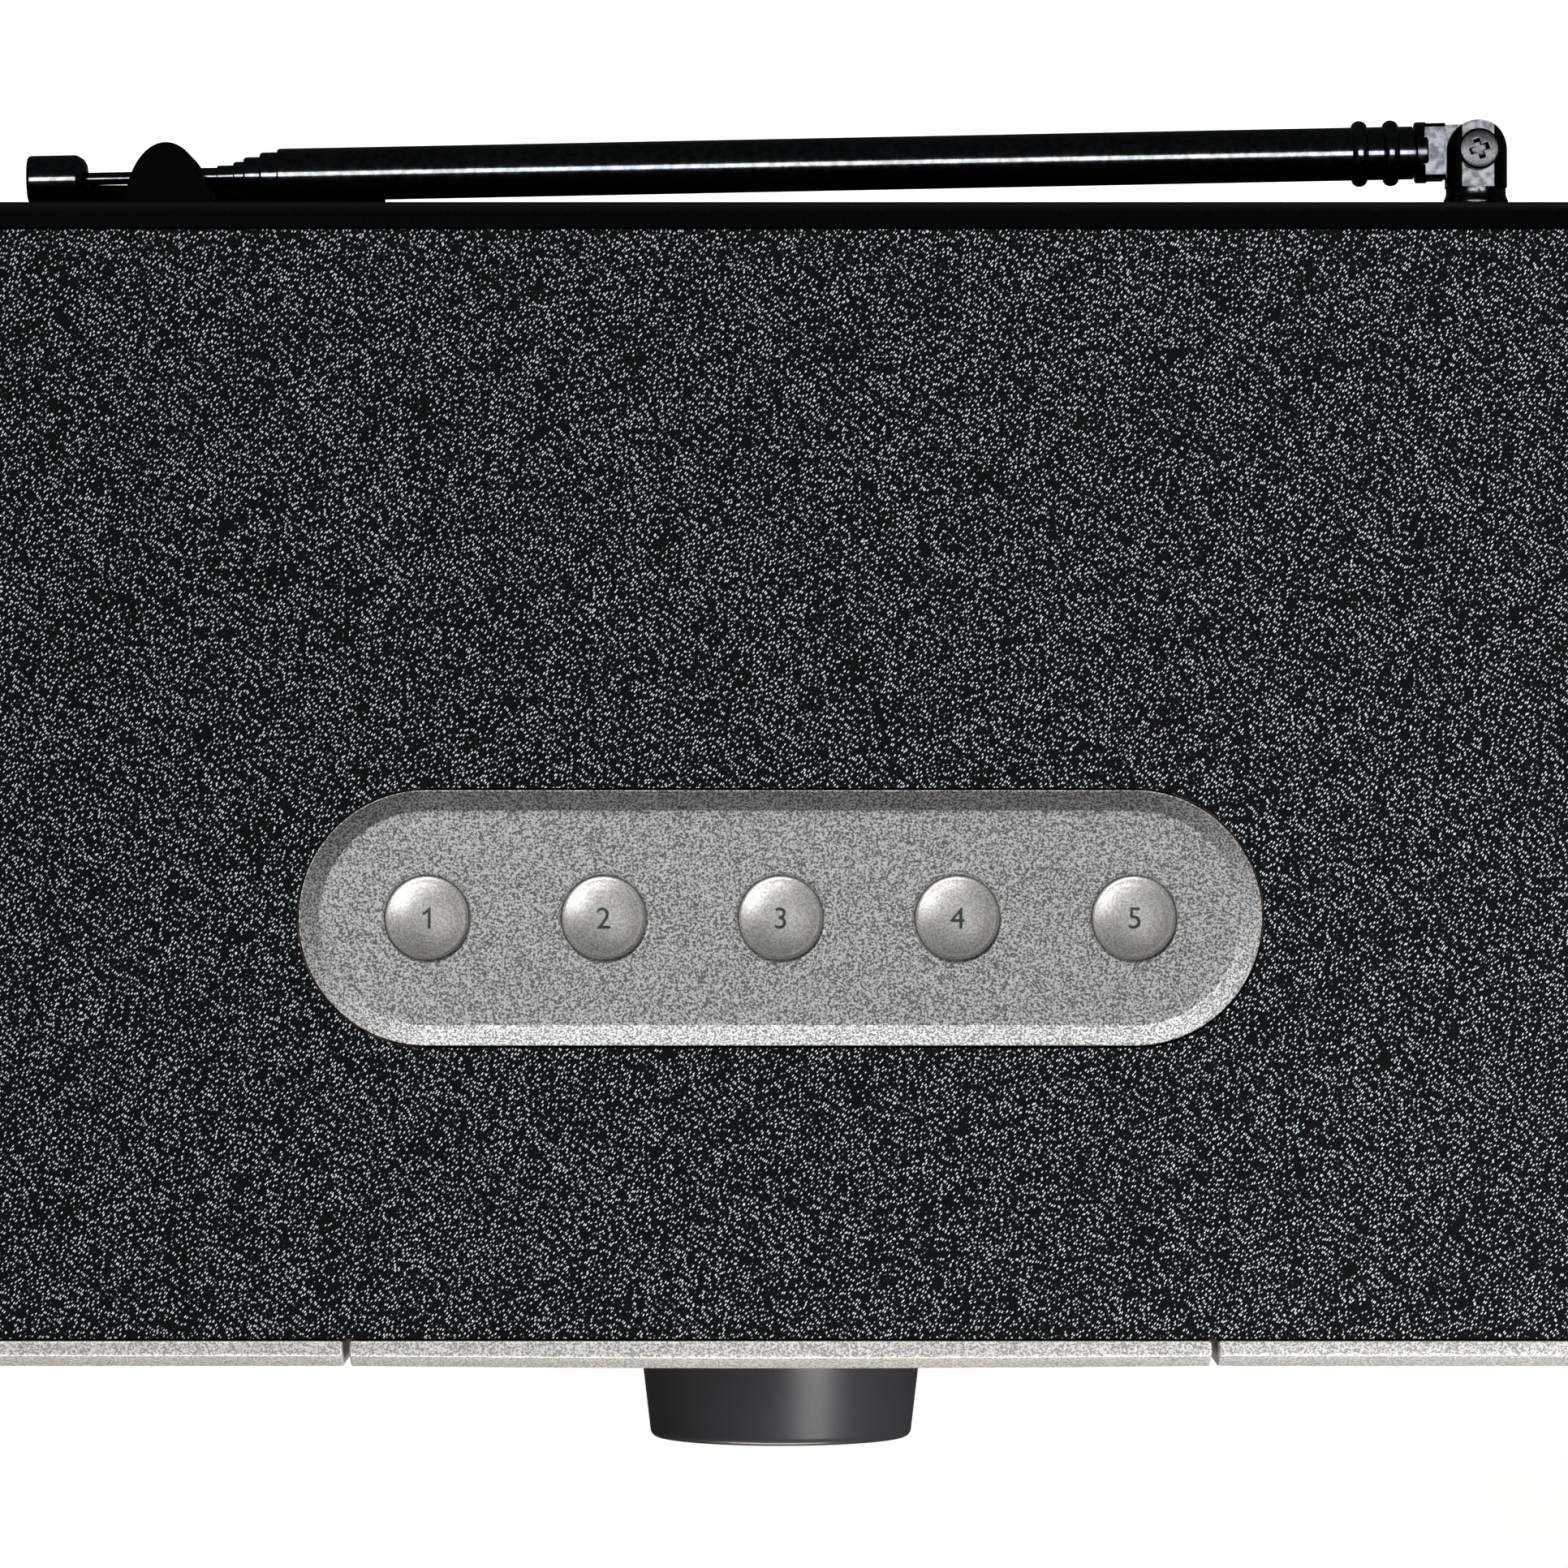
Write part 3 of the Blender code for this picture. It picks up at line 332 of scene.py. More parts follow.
class Finish:
    """A material with one Principled shader and the helpers that feed it."""

    def __init__(self, name, constants):
        self.material = bpy.data.materials.new(name)
        self.material.use_nodes = True
        self.tree = self.material.node_tree
        self.shader = self.tree.nodes["Principled BSDF"]
        for socket, value in constants.items():
            self.shader.inputs[socket].default_value = value
        self.place = self.add("ShaderNodeTexCoord", {}, {}, "Object")

    def add(self, kind, settings, inputs, output=0):
        """Add a node: its settings first, then its sockets' values or links."""
        node = self.tree.nodes.new(kind)
        for setting, value in settings.items():
            setattr(node, setting, value)
        pairs = inputs.items() if isinstance(inputs, dict) else enumerate(inputs)
        for socket, value in pairs:
            if isinstance(value, Wire):
                self.tree.links.new(value.socket, node.inputs[socket])
            else:
                node.inputs[socket].default_value = value
        return Wire(self, node.outputs[output])

    def spread(self, sizes, turn=(0, 0, 0)):
        """The place on the piece, turned and divided by a size along each axis."""
        scales = [1 / size for size in sizes]
        values = {"Vector": self.place, "Rotation": turn}
        turned = self.add("ShaderNodeVectorRotate", {"rotation_type": "EULER_XYZ"}, values)
        return self.add("ShaderNodeVectorMath", {"operation": "MULTIPLY"}, [turned, scales])

    def noise(self, size, detail=2):
        """Cloudy noise whose clouds are about this size."""
        values = {"Vector": self.place, "Scale": 1 / size, "Detail": detail}
        return self.add("ShaderNodeTexNoise", {}, values)

    def mix(self, share, first, second):
        """Blend two colours, each a wire or three numbers."""
        colours = [value if isinstance(value, Wire) else (*value, 1) for value in (first, second)]
        inputs = {0: share, 6: colours[0], 7: colours[1]}
        return self.add("ShaderNodeMix", {"data_type": "RGBA"}, inputs, 2)

    def feed(self, **wires):
        """Link each wire to the shader's socket of that name."""
        for socket, wire in wires.items():
            self.tree.links.new(wire.socket, self.shader.inputs[socket.replace("_", " ").title()])

    def bump(self, height, depth, strength=1):
        """Let the height tilt the light on the surface, as relief this deep would."""
        values = {"Height": height, "Distance": depth, "Strength": strength}
        self.feed(normal=self.add("ShaderNodeBump", {}, values))


# %% [markdown]
# ## Leatherette
#
# The top is wrapped in black leatherette. Its grain is a field of tiny raised grains, a little
# under half a millimetre apart and drawn out along a slant. Each grain's glossy top is painted
# light grey, a painted highlight that stands in for the glint it catches, with black between.
# Voronoi cells give the grains: the distance to a cell's centre is the height, and stretching the
# coordinates draws the cells out.

# %% Leatherette finish
GRAIN_PITCH = 0.35 * MM
GRAIN_STRETCH = 2.4
GRAIN_SLANT = math.radians(-52)
GRAIN_WANDER = 1.2
GRAIN_REACH = 0.192
GRAIN_PATCHES = 0.08
# The grain tops' light grey is a painted highlight: it stands in for the glints the grains catch.
GLINT_PAINT_COLOUR = (0.5, 0.56, 0.585)
BETWEEN_GRAINS = (0.0012, 0.0014, 0.0016)


def make_leatherette():
    """Black leather cloth: slanted stretched dots that stand up, with painted glints on their tops.
    """
    finish_nodes = Finish("leatherette", {"Specular IOR Level": 0.06})
    wander = finish_nodes.noise(6 * MM)
    slanted = finish_nodes.spread(
        (GRAIN_PITCH * GRAIN_STRETCH, GRAIN_PITCH, GRAIN_PITCH), (0, 0, GRAIN_SLANT)
    )
    shift = [slanted, wander * GRAIN_WANDER]
    bent = finish_nodes.add("ShaderNodeVectorMath", {"operation": "ADD"}, shift)
    cells = {"Vector": bent, "Scale": 1.0, "Randomness": 0.7}
    grain = finish_nodes.add("ShaderNodeTexVoronoi", {"feature": "F1"}, cells)
    reach = finish_nodes.noise(3.5 * MM, 3) * GRAIN_PATCHES + GRAIN_REACH
    # Where top is 1 the colour is a painted glint; the lower roughness there is the grain's own
    # gloss.
    top = 1 - (grain - reach).between(-0.07, 0.07)
    colour = finish_nodes.mix(top, BETWEEN_GRAINS, GLINT_PAINT_COLOUR)
    finish_nodes.feed(base_color=colour, roughness=0.7 - top * 0.25)
    finish_nodes.bump(1 - grain.between(0, 0.7), 0.05 * MM, 0.6)
    return finish_nodes.material


leatherette = make_leatherette()
print("grain pitch:", GRAIN_PITCH)

# %% [markdown]
# ## Satin silver
#
# The tray and the fascia are blasted with fine grit and then anodised: a grey surface with a
# fine sparkle and no direction. The buttons are smoother, so they keep a clear highlight. All
# use one recipe with different numbers: the colour, the roughness, the depth of the grit, how
# much the specks differ and how metallic it is.


# %% Satin silver finishes
def make_silver(name, colour, roughness, grit, speckle, metallic=0.85):
    """Silver paint or satin metal with a fine grain and a faint cloud."""
    finish_nodes = Finish(name, {"Metallic": metallic})
    fine = finish_nodes.noise(0.3 * MM, 2)
    cloud = finish_nodes.noise(9 * MM, 3)
    dark = [value * (1 - speckle) for value in colour]
    light = [min(1, value * (1 + speckle)) for value in colour]
    finish_nodes.feed(
        base_color=finish_nodes.mix(fine.between(0.38, 0.62), dark, light),
        roughness=cloud * 0.06 + (roughness - 0.03),
    )
    finish_nodes.bump(fine, grit, 0.5)
    return finish_nodes.material


tray_silver = make_silver("blasted_silver", (0.77, 0.76, 0.75), 0.5, 0.06 * MM, 0.75, 0.15)
fascia_silver = make_silver("fascia_silver", (0.42, 0.41, 0.4), 0.42, 0.03 * MM, 0.45, 0.35)
button_silver = make_silver("button_silver", (0.74, 0.73, 0.715), 0.38, 0.02 * MM, 0.22, 0.6)
print("silvers:", tray_silver.name, fascia_silver.name, button_silver.name)

# %% [markdown]
# ## Black chrome and the other finishes
#
# The antenna is plated with black chrome: a dark mirror with faint wear, rougher on the cast
# elbow. The knob, the cover and the rubber are dark plastics that differ in gloss and in how
# coarse their surface is, so one recipe makes them all. The noise that tilts the surface also
# lightens its high spots a little, as dust and handling do.


# %% Black chrome and plastics
def make_chrome(name, dark, light, roughness, depth):
    """Plated metal whose colour and shine wander a little with wear."""
    finish_nodes = Finish(name, {"Metallic": 1.0})
    wear = finish_nodes.noise(1.1 * MM, 4)
    grit = finish_nodes.noise(0.35 * MM, 2)
    finish_nodes.feed(
        base_color=finish_nodes.mix(wear.between(0.35, 0.65), dark, light),
        roughness=wear * 0.08 + (roughness - 0.04),
    )
    finish_nodes.bump(grit, depth, 0.4)
    return finish_nodes.material


def make_plastic(name, colour, roughness, texture, depth, lighter=1.6, gloss=0.5):
    """Moulded plastic or rubber with a fine texture of the given size and depth."""
    finish_nodes = Finish(name, {"Specular IOR Level": gloss})
    grit = finish_nodes.noise(texture, 3)
    cloud = finish_nodes.noise(12 * MM, 2)
    light = [value * lighter for value in colour]
    finish_nodes.feed(
        base_color=finish_nodes.mix(grit.between(0.35, 0.65), colour, light),
        roughness=cloud * 0.1 + grit * 0.08 + (roughness - 0.09),
    )
    finish_nodes.bump(grit, depth, 0.6)
    return finish_nodes.material


black_chrome = make_chrome(
    "black_chrome", (0.06, 0.066, 0.072), (0.1, 0.108, 0.115), 0.12, 0.0015 * MM
)
cast_chrome = make_chrome(
    "cast_chrome", (0.022, 0.023, 0.026), (0.06, 0.062, 0.067), 0.17, 0.01 * MM
)
black_plastic = make_plastic(
    "spark_black", (0.0016, 0.0016, 0.002), 0.6, 0.35 * MM, 0.03 * MM, 3, 0.1
)
smooth_black = make_plastic(
    "smooth_black", (0.001, 0.001, 0.001), 0.6, 0.2 * MM, 0.004 * MM, 1.6, 0.08
)
knob_charcoal = make_plastic(
    "knob_charcoal", (0.026, 0.0255, 0.029), 0.33, 0.18 * MM, 0.006 * MM, 1.25, 0.7
)
window_black = make_plastic(
    "window_black", (0.004, 0.005, 0.007), 0.08, 40 * MM, 0.001 * MM, 1.3
)
foot_rubber = make_plastic("foot_rubber", (0.018, 0.018, 0.018), 0.8, 0.5 * MM, 0.03 * MM)
cone_paper = make_plastic("cone_paper", (0.016, 0.016, 0.017), 0.85, 0.8 * MM, 0.08 * MM, 2.0)
numeral_ink = make_plastic("numeral_ink", (0.05, 0.07, 0.062), 0.5, 0.15 * MM, 0.003 * MM)
grille_steel = make_silver("grille_steel", (0.2, 0.2, 0.205), 0.42, 0.01 * MM, 0.2)
zinc_steel = make_silver("zinc_steel", (0.5, 0.5, 0.52), 0.35, 0.006 * MM, 0.15)
screw_steel = make_silver("screw_steel", (0.05, 0.05, 0.052), 0.3, 0.004 * MM, 0.2, 1)
turned_brass = make_silver("turned_brass", (0.62, 0.46, 0.2), 0.3, 0.004 * MM, 0.1)
print("finishes so far:", len(bpy.data.materials))

# %% [markdown]
# ## Wood and circuit board
#
# The cabinet's fibreboard is only seen through gaps, so its fibres are one noise. The circuit
# boards get their tracks from the edges between Voronoi cells.


# %% Wood board and circuit board
def make_wood_board():
    """Plain pressed board for the cabinet's hidden sleeve."""
    finish_nodes = Finish("wood_board", {"Roughness": 0.85})
    fibre = finish_nodes.noise(1.2 * MM, 5)
    finish_nodes.feed(base_color=finish_nodes.mix(fibre, (0.33, 0.21, 0.12), (0.52, 0.37, 0.23)))
    finish_nodes.bump(fibre, 0.1 * MM)
    return finish_nodes.material


def make_circuit_board():
    """Green board with paler tracks."""
    finish_nodes = Finish("circuit_board", {"Roughness": 0.4})
    cells = {"Vector": finish_nodes.place, "Scale": 260}
    tracks = finish_nodes.add("ShaderNodeTexVoronoi", {"feature": "DISTANCE_TO_EDGE"}, cells)
    track = 1 - tracks.between(0.02, 0.07)
    finish_nodes.feed(base_color=finish_nodes.mix(track, (0.01, 0.09, 0.04), (0.03, 0.2, 0.09)))
    finish_nodes.bump(track, 0.03 * MM)
    return finish_nodes.material


wood_board = make_wood_board()
circuit_board = make_circuit_board()
print("finishes:", len(bpy.data.materials))

# %% [markdown]
# ## The wrapped cabinet
#
# The wrap is one sheet round the cabinet, so it is modelled as a sheet: a block with its long
# edges rounded loses its two ends and is then given its thickness. The tray's opening is cut
# last, with a long rounded tool.

# %% Leatherette wrap
EDGE_RADIUS = 8 * MM
WRAP_THICKNESS = 0.8 * MM
TRAY_GAP = 0.3 * MM
tray_low, tray_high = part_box("preset_tray")
tray_radius = (tray_high.y - tray_low.y) / 2


def stadium(name, grow, low_z, high_z, segments=24):
    """A block with half-round ends over the tray's outline, grown by a margin."""
    low = (tray_low.x - grow, tray_low.y - grow, low_z)
    high = (tray_high.x + grow, tray_high.y + grow, high_z)
    return block(name, low, high, tray_radius + grow - 0.01 * MM, Z, segments)


wrap = block("leatherette_skin", wrap_low, wrap_high, EDGE_RADIUS, Y, 14)
start_edit(wrap, "FACE", lambda face: abs(face.normal.y) > 0.95)
bpy.ops.mesh.delete(type="FACE")
end_edit()
apply(wrap, "SOLIDIFY", thickness=WRAP_THICKNESS, offset=-1)
carve(wrap, stadium("tray_opening", TRAY_GAP, tray_low.z, wrap_high.z + EDGE_RADIUS))
soften(wrap, 0.2 * MM, 2)
finish(wrap, "root", leatherette, "leatherette", "leatherette_wrap")
print("wrap:", len(wrap.data.polygons), "faces")

# %% [markdown]
# ## The silver fascia
#
# The front is one chamfered slab that was cut into three. Making the whole slab first keeps the
# chamfer in line across the seams. The middle third bows out by a third of a millimetre, so the
# slab is cut into strips that can bend before the three sections are parted.

# %% Fascia slab
CHAMFER_WIDTH = 5 * MM
CHAMFER_DEPTH = 1.85 * MM
BOW = 0.33 * MM
BOW_STRIPS = 12
fascia_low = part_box("left_grille_frame")[0]
fascia_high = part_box("right_grille_frame")[1]
panel_low, panel_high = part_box("control_panel")


def fascia_section(name, low_x, high_x, bow=0):
    """One section of the fascia. Its seam edges stay square here and are softened at the end."""
    low = (fascia_low.x, fascia_low.y + CHAMFER_DEPTH, fascia_low.z)
    slab = block(name, low, fascia_high, EDGE_RADIUS, Y, 14)
    step_face(slab, -Y, [(CHAMFER_WIDTH, CHAMFER_DEPTH)])
    keep_low = (low_x, fascia_low.y - EDGE_RADIUS, fascia_low.z - EDGE_RADIUS)
    keep_high = (high_x, fascia_high.y + EDGE_RADIUS, fascia_high.z + EDGE_RADIUS)
    carve(slab, block("keep", keep_low, keep_high), operation="INTERSECT")
    if bow:
        bend_out(slab, low_x, high_x, bow)
    return slab


def bend_out(slab, low_x, high_x, bow):
    """Push the front out in a shallow curve between two ends, strip by strip."""
    half = (high_x - low_x) / 2
    start_edit(slab)
    for strip in range(1, BOW_STRIPS):
        at = low_x + (high_x - low_x) * strip / BOW_STRIPS
        bpy.ops.mesh.select_all(action="SELECT")
        bpy.ops.mesh.bisect(plane_co=(at, 0, 0), plane_no=(1, 0, 0))
    for strip in range(1, BOW_STRIPS):
        at = low_x + (high_x - low_x) * strip / BOW_STRIPS
        share = 1 - ((at - low_x) / half - 1) ** 2
        start_edit(
            slab,
            "VERT",
            lambda point: abs(point.co.x - at) < 0.1 * MM and point.co.y < fascia_high.y - 1 * MM,
        )
        bpy.ops.transform.translate(value=(0, -bow * share, 0))
        end_edit()


# %% [markdown]
# The two outer sections frame the grilles. Each opening has the outline of its grille, grown by
# the gap between the pieces.

# %% Grille frames
FRAME_CORNER = 6 * MM
for side in ("left", "right"):
    frame_low, frame_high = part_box(f"{side}_grille_frame")
    grille_low, grille_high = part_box(f"{side}_grille")
    piece = fascia_section(f"{side}_fascia_frame", frame_low.x, frame_high.x)
    opening_low = (grille_low.x - TRAY_GAP, frame_low.y - EDGE_RADIUS, grille_low.z - TRAY_GAP)
    opening_high = (grille_high.x + TRAY_GAP, frame_high.y + EDGE_RADIUS, grille_high.z + TRAY_GAP)
    carve(piece, block("opening", opening_low, opening_high, FRAME_CORNER, Y))
    soften(piece, 0.35 * MM, 3)
    finish(piece, "root", fascia_silver, "silver_face", f"{side}_grille_frame")

# %% [markdown]
# The middle section has an opening for the window, a hole for the knob's shaft and four holes
# for the buttons. All the cutters are joined into one tool, because one cut is more reliable
# than six in a row on a surface that is already cut.

# %% Control panel with its window and holes
window_low, window_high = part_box("display_window")
knob_low, knob_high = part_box("volume_knob")
knob_middle = (knob_low + knob_high) / 2
FRONT_BUTTONS = ("left_upper", "left_lower", "right_upper", "right_lower")
FRONT_BUTTON_RADIUS = 4.5 * MM
BUTTON_GAP = 0.35 * MM
SHAFT_HOLE = 3.6 * MM

panel = fascia_section("control_fascia", panel_low.x, panel_high.x, BOW)
beyond = Y * EDGE_RADIUS
opening_low = window_low - beyond - (X + Z) * TRAY_GAP
opening_high = window_high + beyond + (X + Z) * TRAY_GAP
tools = [block("opening", opening_low, opening_high, 2 * MM, Y)]
front_buttons = {}
for key in FRONT_BUTTONS:
    low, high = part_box(f"front_button_{key}")
    middle = Vector(((low.x + high.x) / 2, panel_low.y, (low.z + high.z) / 2))
    front_buttons[key] = middle
    tools.append(
        cylinder("hole", FRONT_BUTTON_RADIUS + BUTTON_GAP, middle - beyond, middle + beyond)
    )
hole_middle = Vector((knob_middle.x, panel_low.y, knob_middle.z))
tools.append(cylinder("hole", SHAFT_HOLE, hole_middle - beyond, hole_middle + beyond))
carve(panel, *tools)
soften(panel, 0.35 * MM, 3)
finish(panel, "root", fascia_silver, "silver_face", "control_panel")
print("fascia front:", round(panel_low.y, 4))

# %% [markdown]
# ## Perforated grilles
#
# Each speaker is behind a pressed steel sheet full of round holes. One square cell with a round
# hole is modelled, then two Array modifiers repeat it. The points of an inner ring are pushed
# onto a circle with the To Sphere operator, which is how a square gets a round hole. The rim
# with its folded sides is a separate block, hollowed and joined to the field. The second grille
# is a copy of the first.

# %% Grille sheet
HOLE_PITCH = 2.5 * MM
HOLE_RADIUS = 0.88 * MM
HOLE_POINTS = 12
SHEET = 0.8 * MM
RIM = 4 * MM
RIM_CORNER = 5.7 * MM


def perforated_field(name, low, high, y):
    """A flat field of round holes between two corners, facing the front."""
    columns = int((high.x - low.x - 2 * RIM) / HOLE_PITCH)
    rows = int((high.z - low.z - 2 * RIM) / HOLE_PITCH)
    bpy.ops.mesh.primitive_plane_add(size=HOLE_PITCH)
    cell = bpy.context.object
    cell.name = cell.data.name = name
    choose(cell)
    bpy.ops.object.mode_set(mode="EDIT")
    bpy.ops.mesh.select_all(action="SELECT")
    bpy.ops.mesh.delete(type="ONLY_FACE")
    bpy.ops.mesh.select_all(action="SELECT")
    bpy.ops.mesh.subdivide(number_cuts=2)
    bpy.ops.mesh.edge_face_add()
    bpy.ops.mesh.inset(thickness=(HOLE_PITCH / 2 - HOLE_RADIUS) * 0.8)
    bpy.ops.transform.tosphere(value=1)
    mesh = bmesh.from_edit_mesh(cell.data)
    radius = sum(point.co.length for point in mesh.verts if point.select) / HOLE_POINTS
    size = HOLE_RADIUS / radius
    bpy.ops.transform.resize(value=(size, size, size), center_override=(0, 0, 0))
    bpy.ops.mesh.delete(type="FACE")
    end_edit()
    for axis, count in ((0, columns), (1, rows)):
        offset = [0, 0, 0]
        offset[axis] = HOLE_PITCH
        apply(
            cell,
            "ARRAY",
            count=count,
            use_relative_offset=False,
            use_constant_offset=True,
            constant_offset_displace=offset,
            use_merge_vertices=True,
            merge_threshold=0.01 * MM,
        )
    apply(cell, "SOLIDIFY", thickness=SHEET, offset=-1)
    cell.rotation_euler = (math.radians(90), 0, 0)
    middle = (low + high) / 2
    cell.location = (
        middle.x - HOLE_PITCH * (columns - 1) / 2,
        y,
        middle.z - HOLE_PITCH * (rows - 1) / 2,
    )
    settle(cell)
    return cell, columns * HOLE_PITCH, rows * HOLE_PITCH


def make_grille():
    """The left grille; the right one is a copy."""
    low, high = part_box("left_grille")
    middle = (low + high) / 2
    field, width, height = perforated_field("grille_sheet", low, high, low.y)
    rim = block("rim", low, high, RIM_CORNER, Y)
    inner_low = (low.x + SHEET, low.y + SHEET, low.z + SHEET)
    inner_high = (high.x - SHEET, high.y + EDGE_RADIUS, high.z - SHEET)
    carve(rim, block("hollow", inner_low, inner_high, RIM_CORNER - 0.7 * MM, Y))
    hole_low = (middle.x - width / 2, low.y - SHEET, middle.z - height / 2)
    hole_high = (middle.x + width / 2, high.y, middle.z + height / 2)
    carve(rim, block("field_opening", hole_low, hole_high))
    choose(field)
    rim.select_set(True)
    bpy.ops.object.join()
    bpy.ops.object.shade_flat()
    return field


grille_corners = {side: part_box(f"{side}_grille")[0] for side in ("left", "right")}
grille_moves = {side: low - grille_corners["left"] for side, low in grille_corners.items()}
for side, grille in copies(make_grille(), grille_moves).items():
    finish(grille, "root", grille_steel, "grille_mesh", f"{side}_grille")
    print(side, "grille faces:", len(grille.data.polygons))

# %% [markdown]
# ## Display window
#
# The window is a thick dark acrylic plate with polished edges. Its rounded front edge is what
# shows that it is a separate piece set into the panel.

# %% Window
window = block("window_plate", window_low, window_high, 1.7 * MM, Y, 8)
step_face(window, -Y, [(0.6 * MM, 0.12 * MM)])
soften(window, 0.2 * MM, 3)
finish(window, "root", window_black, "display_window", "display_window")
print("window size:", [round(value, 4) for value in window_high - window_low])

# %% [markdown]
# ## Volume knob
#
# The knob is turned: its side tapers a little towards the front, its face is a very low dome and
# the edge between them is rounded. A small dimple near the edge of the face takes a fingertip.

# %% Knob
KNOB_END_RADIUS = 20.2 * MM
KNOB_EDGE = 1.2 * MM
KNOB_DOME = 0.3 * MM
KNOB_FACE = 5 * MM
DIMPLE_RADIUS = 9 * MM
DIMPLE_DEPTH = 0.7 * MM
DIMPLE_OUT = 13.5 * MM
knob_base_radius = (knob_high.x - knob_low.x) / 2
knob_length = knob_high.y - knob_low.y


def knob_edge_points(radius, height, size, steps=5):
    """A quarter circle from the face of the knob to its side."""
    turns = [math.pi / 2 * step / steps for step in range(1, steps + 1)]
    return [
        (radius - size + size * math.sin(turn), height - size + size * math.cos(turn))
        for turn in turns
    ]


face_radius = KNOB_END_RADIUS - KNOB_EDGE
knob_profile = [
    *dome(face_radius, knob_length, KNOB_DOME, 10),
    *knob_edge_points(KNOB_END_RADIUS, knob_length - KNOB_DOME, KNOB_EDGE),
    (knob_base_radius - 0.1 * MM, 0.5 * MM),
    (knob_base_radius - 0.3 * MM, 0),
    (knob_base_radius - 2.4 * MM, 0),
    (knob_base_radius - 3.2 * MM, knob_length - KNOB_FACE),
    (0, knob_length - KNOB_FACE),
]
knob_foot = Vector((knob_middle.x, knob_high.y, knob_middle.z))
knob = turn("control_knob", knob_profile, knob_foot, -Y, 128)
dimple_out = -knob_length - DIMPLE_RADIUS + DIMPLE_DEPTH
dimple_middle = knob_foot + Vector((0, dimple_out, DIMPLE_OUT))
bpy.ops.mesh.primitive_uv_sphere_add(
    segments=48, ring_count=24, radius=DIMPLE_RADIUS, location=dimple_middle
)
fingertip = bpy.context.object
settle(fingertip)
carve(knob, fingertip)
shade(knob, 28)
finish(knob, "volume_knob", knob_charcoal, "charcoal_plastic", "volume_knob")
print("knob length:", round(knob_length, 4))

# %% [markdown]
# ## Front buttons
#
# Four round metal buttons stand a little proud of the panel. Each is a low dome with a rounded
# edge. It is turned once and copied to the other places, each copy with its own mesh because
# every button moves on its own.

# %% Four front buttons
BUTTON_EDGE = 0.4 * MM
BUTTON_DOME = 0.45 * MM
BUTTON_STEM = 3.2 * MM
proud = panel_low.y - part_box("front_button_left_upper")[0].y
button_profile = [
    *dome(FRONT_BUTTON_RADIUS - BUTTON_EDGE, proud, BUTTON_DOME, 6),
    *knob_edge_points(FRONT_BUTTON_RADIUS, proud - BUTTON_DOME, BUTTON_EDGE, 3),
    (FRONT_BUTTON_RADIUS, -BUTTON_STEM),
    (0, -BUTTON_STEM),
]
round_button = turn("round_button", button_profile, (0, 0, 0), -Y, 48)
shade(round_button, 40)
for key, button in copies(round_button, front_buttons).items():
    finish(button, f"front_button_{key}", button_silver, "silver_button", f"front_button_{key}")
print("front buttons:", len(front_buttons), "proud by", round(proud, 5))

# %% [markdown]
# ## Preset tray
#
# The five presets sit in a dished tray let into the top. The dish is one inset that steps down
# while it narrows, which leaves the sloping ring; a second one from below leaves the floor and
# the skirt. Each button's hole has a small countersink that shows as a thin ring.

# %% Tray
TRAY_DEPTH = 1.8 * MM
TRAY_SLOPE = 2.9 * MM
TRAY_LIP = 0.15 * MM
TRAY_FLOOR = 2 * MM
TRAY_SKIRT = 8 * MM
TRAY_WALL = 1.6 * MM
PRESET_RADIUS = 5.95 * MM
HOLE_GAP = 0.26 * MM
SINK_WIDTH = 0.4 * MM
presets = {}
for number in range(1, 6):
    low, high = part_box(f"preset_button_{number}")
    presets[number] = Vector(((low.x + high.x) / 2, (low.y + high.y) / 2, tray_high.z - TRAY_DEPTH))

tray = stadium("dished_tray", 0, tray_high.z - TRAY_SKIRT, tray_high.z, 32)
step_face(tray, Z, [(TRAY_LIP, 0), (TRAY_SLOPE - TRAY_LIP, -TRAY_DEPTH)])
underside = TRAY_SKIRT - TRAY_DEPTH - TRAY_FLOOR
step_face(tray, -Z, [(TRAY_WALL, 0), (0.01 * MM, -underside)])
hole_radius = PRESET_RADIUS + HOLE_GAP
hole_profile = [
    (0, SINK_WIDTH),
    (hole_radius + 2 * SINK_WIDTH, SINK_WIDTH),
    (hole_radius, -SINK_WIDTH),
    (hole_radius, -EDGE_RADIUS),
    (0, -EDGE_RADIUS),
]
carve(tray, *[turn("hole", hole_profile, place, Z, 64) for place in presets.values()])
soften(tray, 0.12 * MM, 2, 22)
finish(tray, "root", tray_silver, "silver_face", "preset_tray")
print("tray faces:", len(tray.data.polygons))

# %% [markdown]
# ## Preset buttons and their numerals
#
# Each cap is a turned low dome with a collar under the tray's floor and a stem below it. The
# numerals are printed on the caps. Each is a flat text made into a mesh, divided finely, draped
# over the dome with a Shrinkwrap modifier and given the thickness of the ink. The one is drawn
# by its outline, because the font's has hardly any flag. Every numeral rides on its cap's body.

# %% Caps and numerals
CAP_CROWN = 1.7 * MM
CAP_DOME = 1.0 * MM
CAP_EDGE = 0.5 * MM
COLLAR_WIDTH = 1.2 * MM
COLLAR_TOP = -TRAY_FLOOR - 0.3 * MM
COLLAR_FOOT = COLLAR_TOP - 1 * MM
STEM_RADIUS = 2 * MM
STEM_FOOT = -9.6 * MM
NUMERAL_HEIGHT = 3.05 * MM
INK = 0.03 * MM
# The outline of a one of height 1: a stem with a flag that leans off its top.
ONE_OUTLINE = [
    (0.30, 0),
    (0.43, 0),
    (0.43, 1),
    (0.35, 1),
    (0.27, 0.89),
    (0.17, 0.81),
    (0.05, 0.75),
    (0.05, 0.63),
    (0.18, 0.68),
    (0.30, 0.77),
]


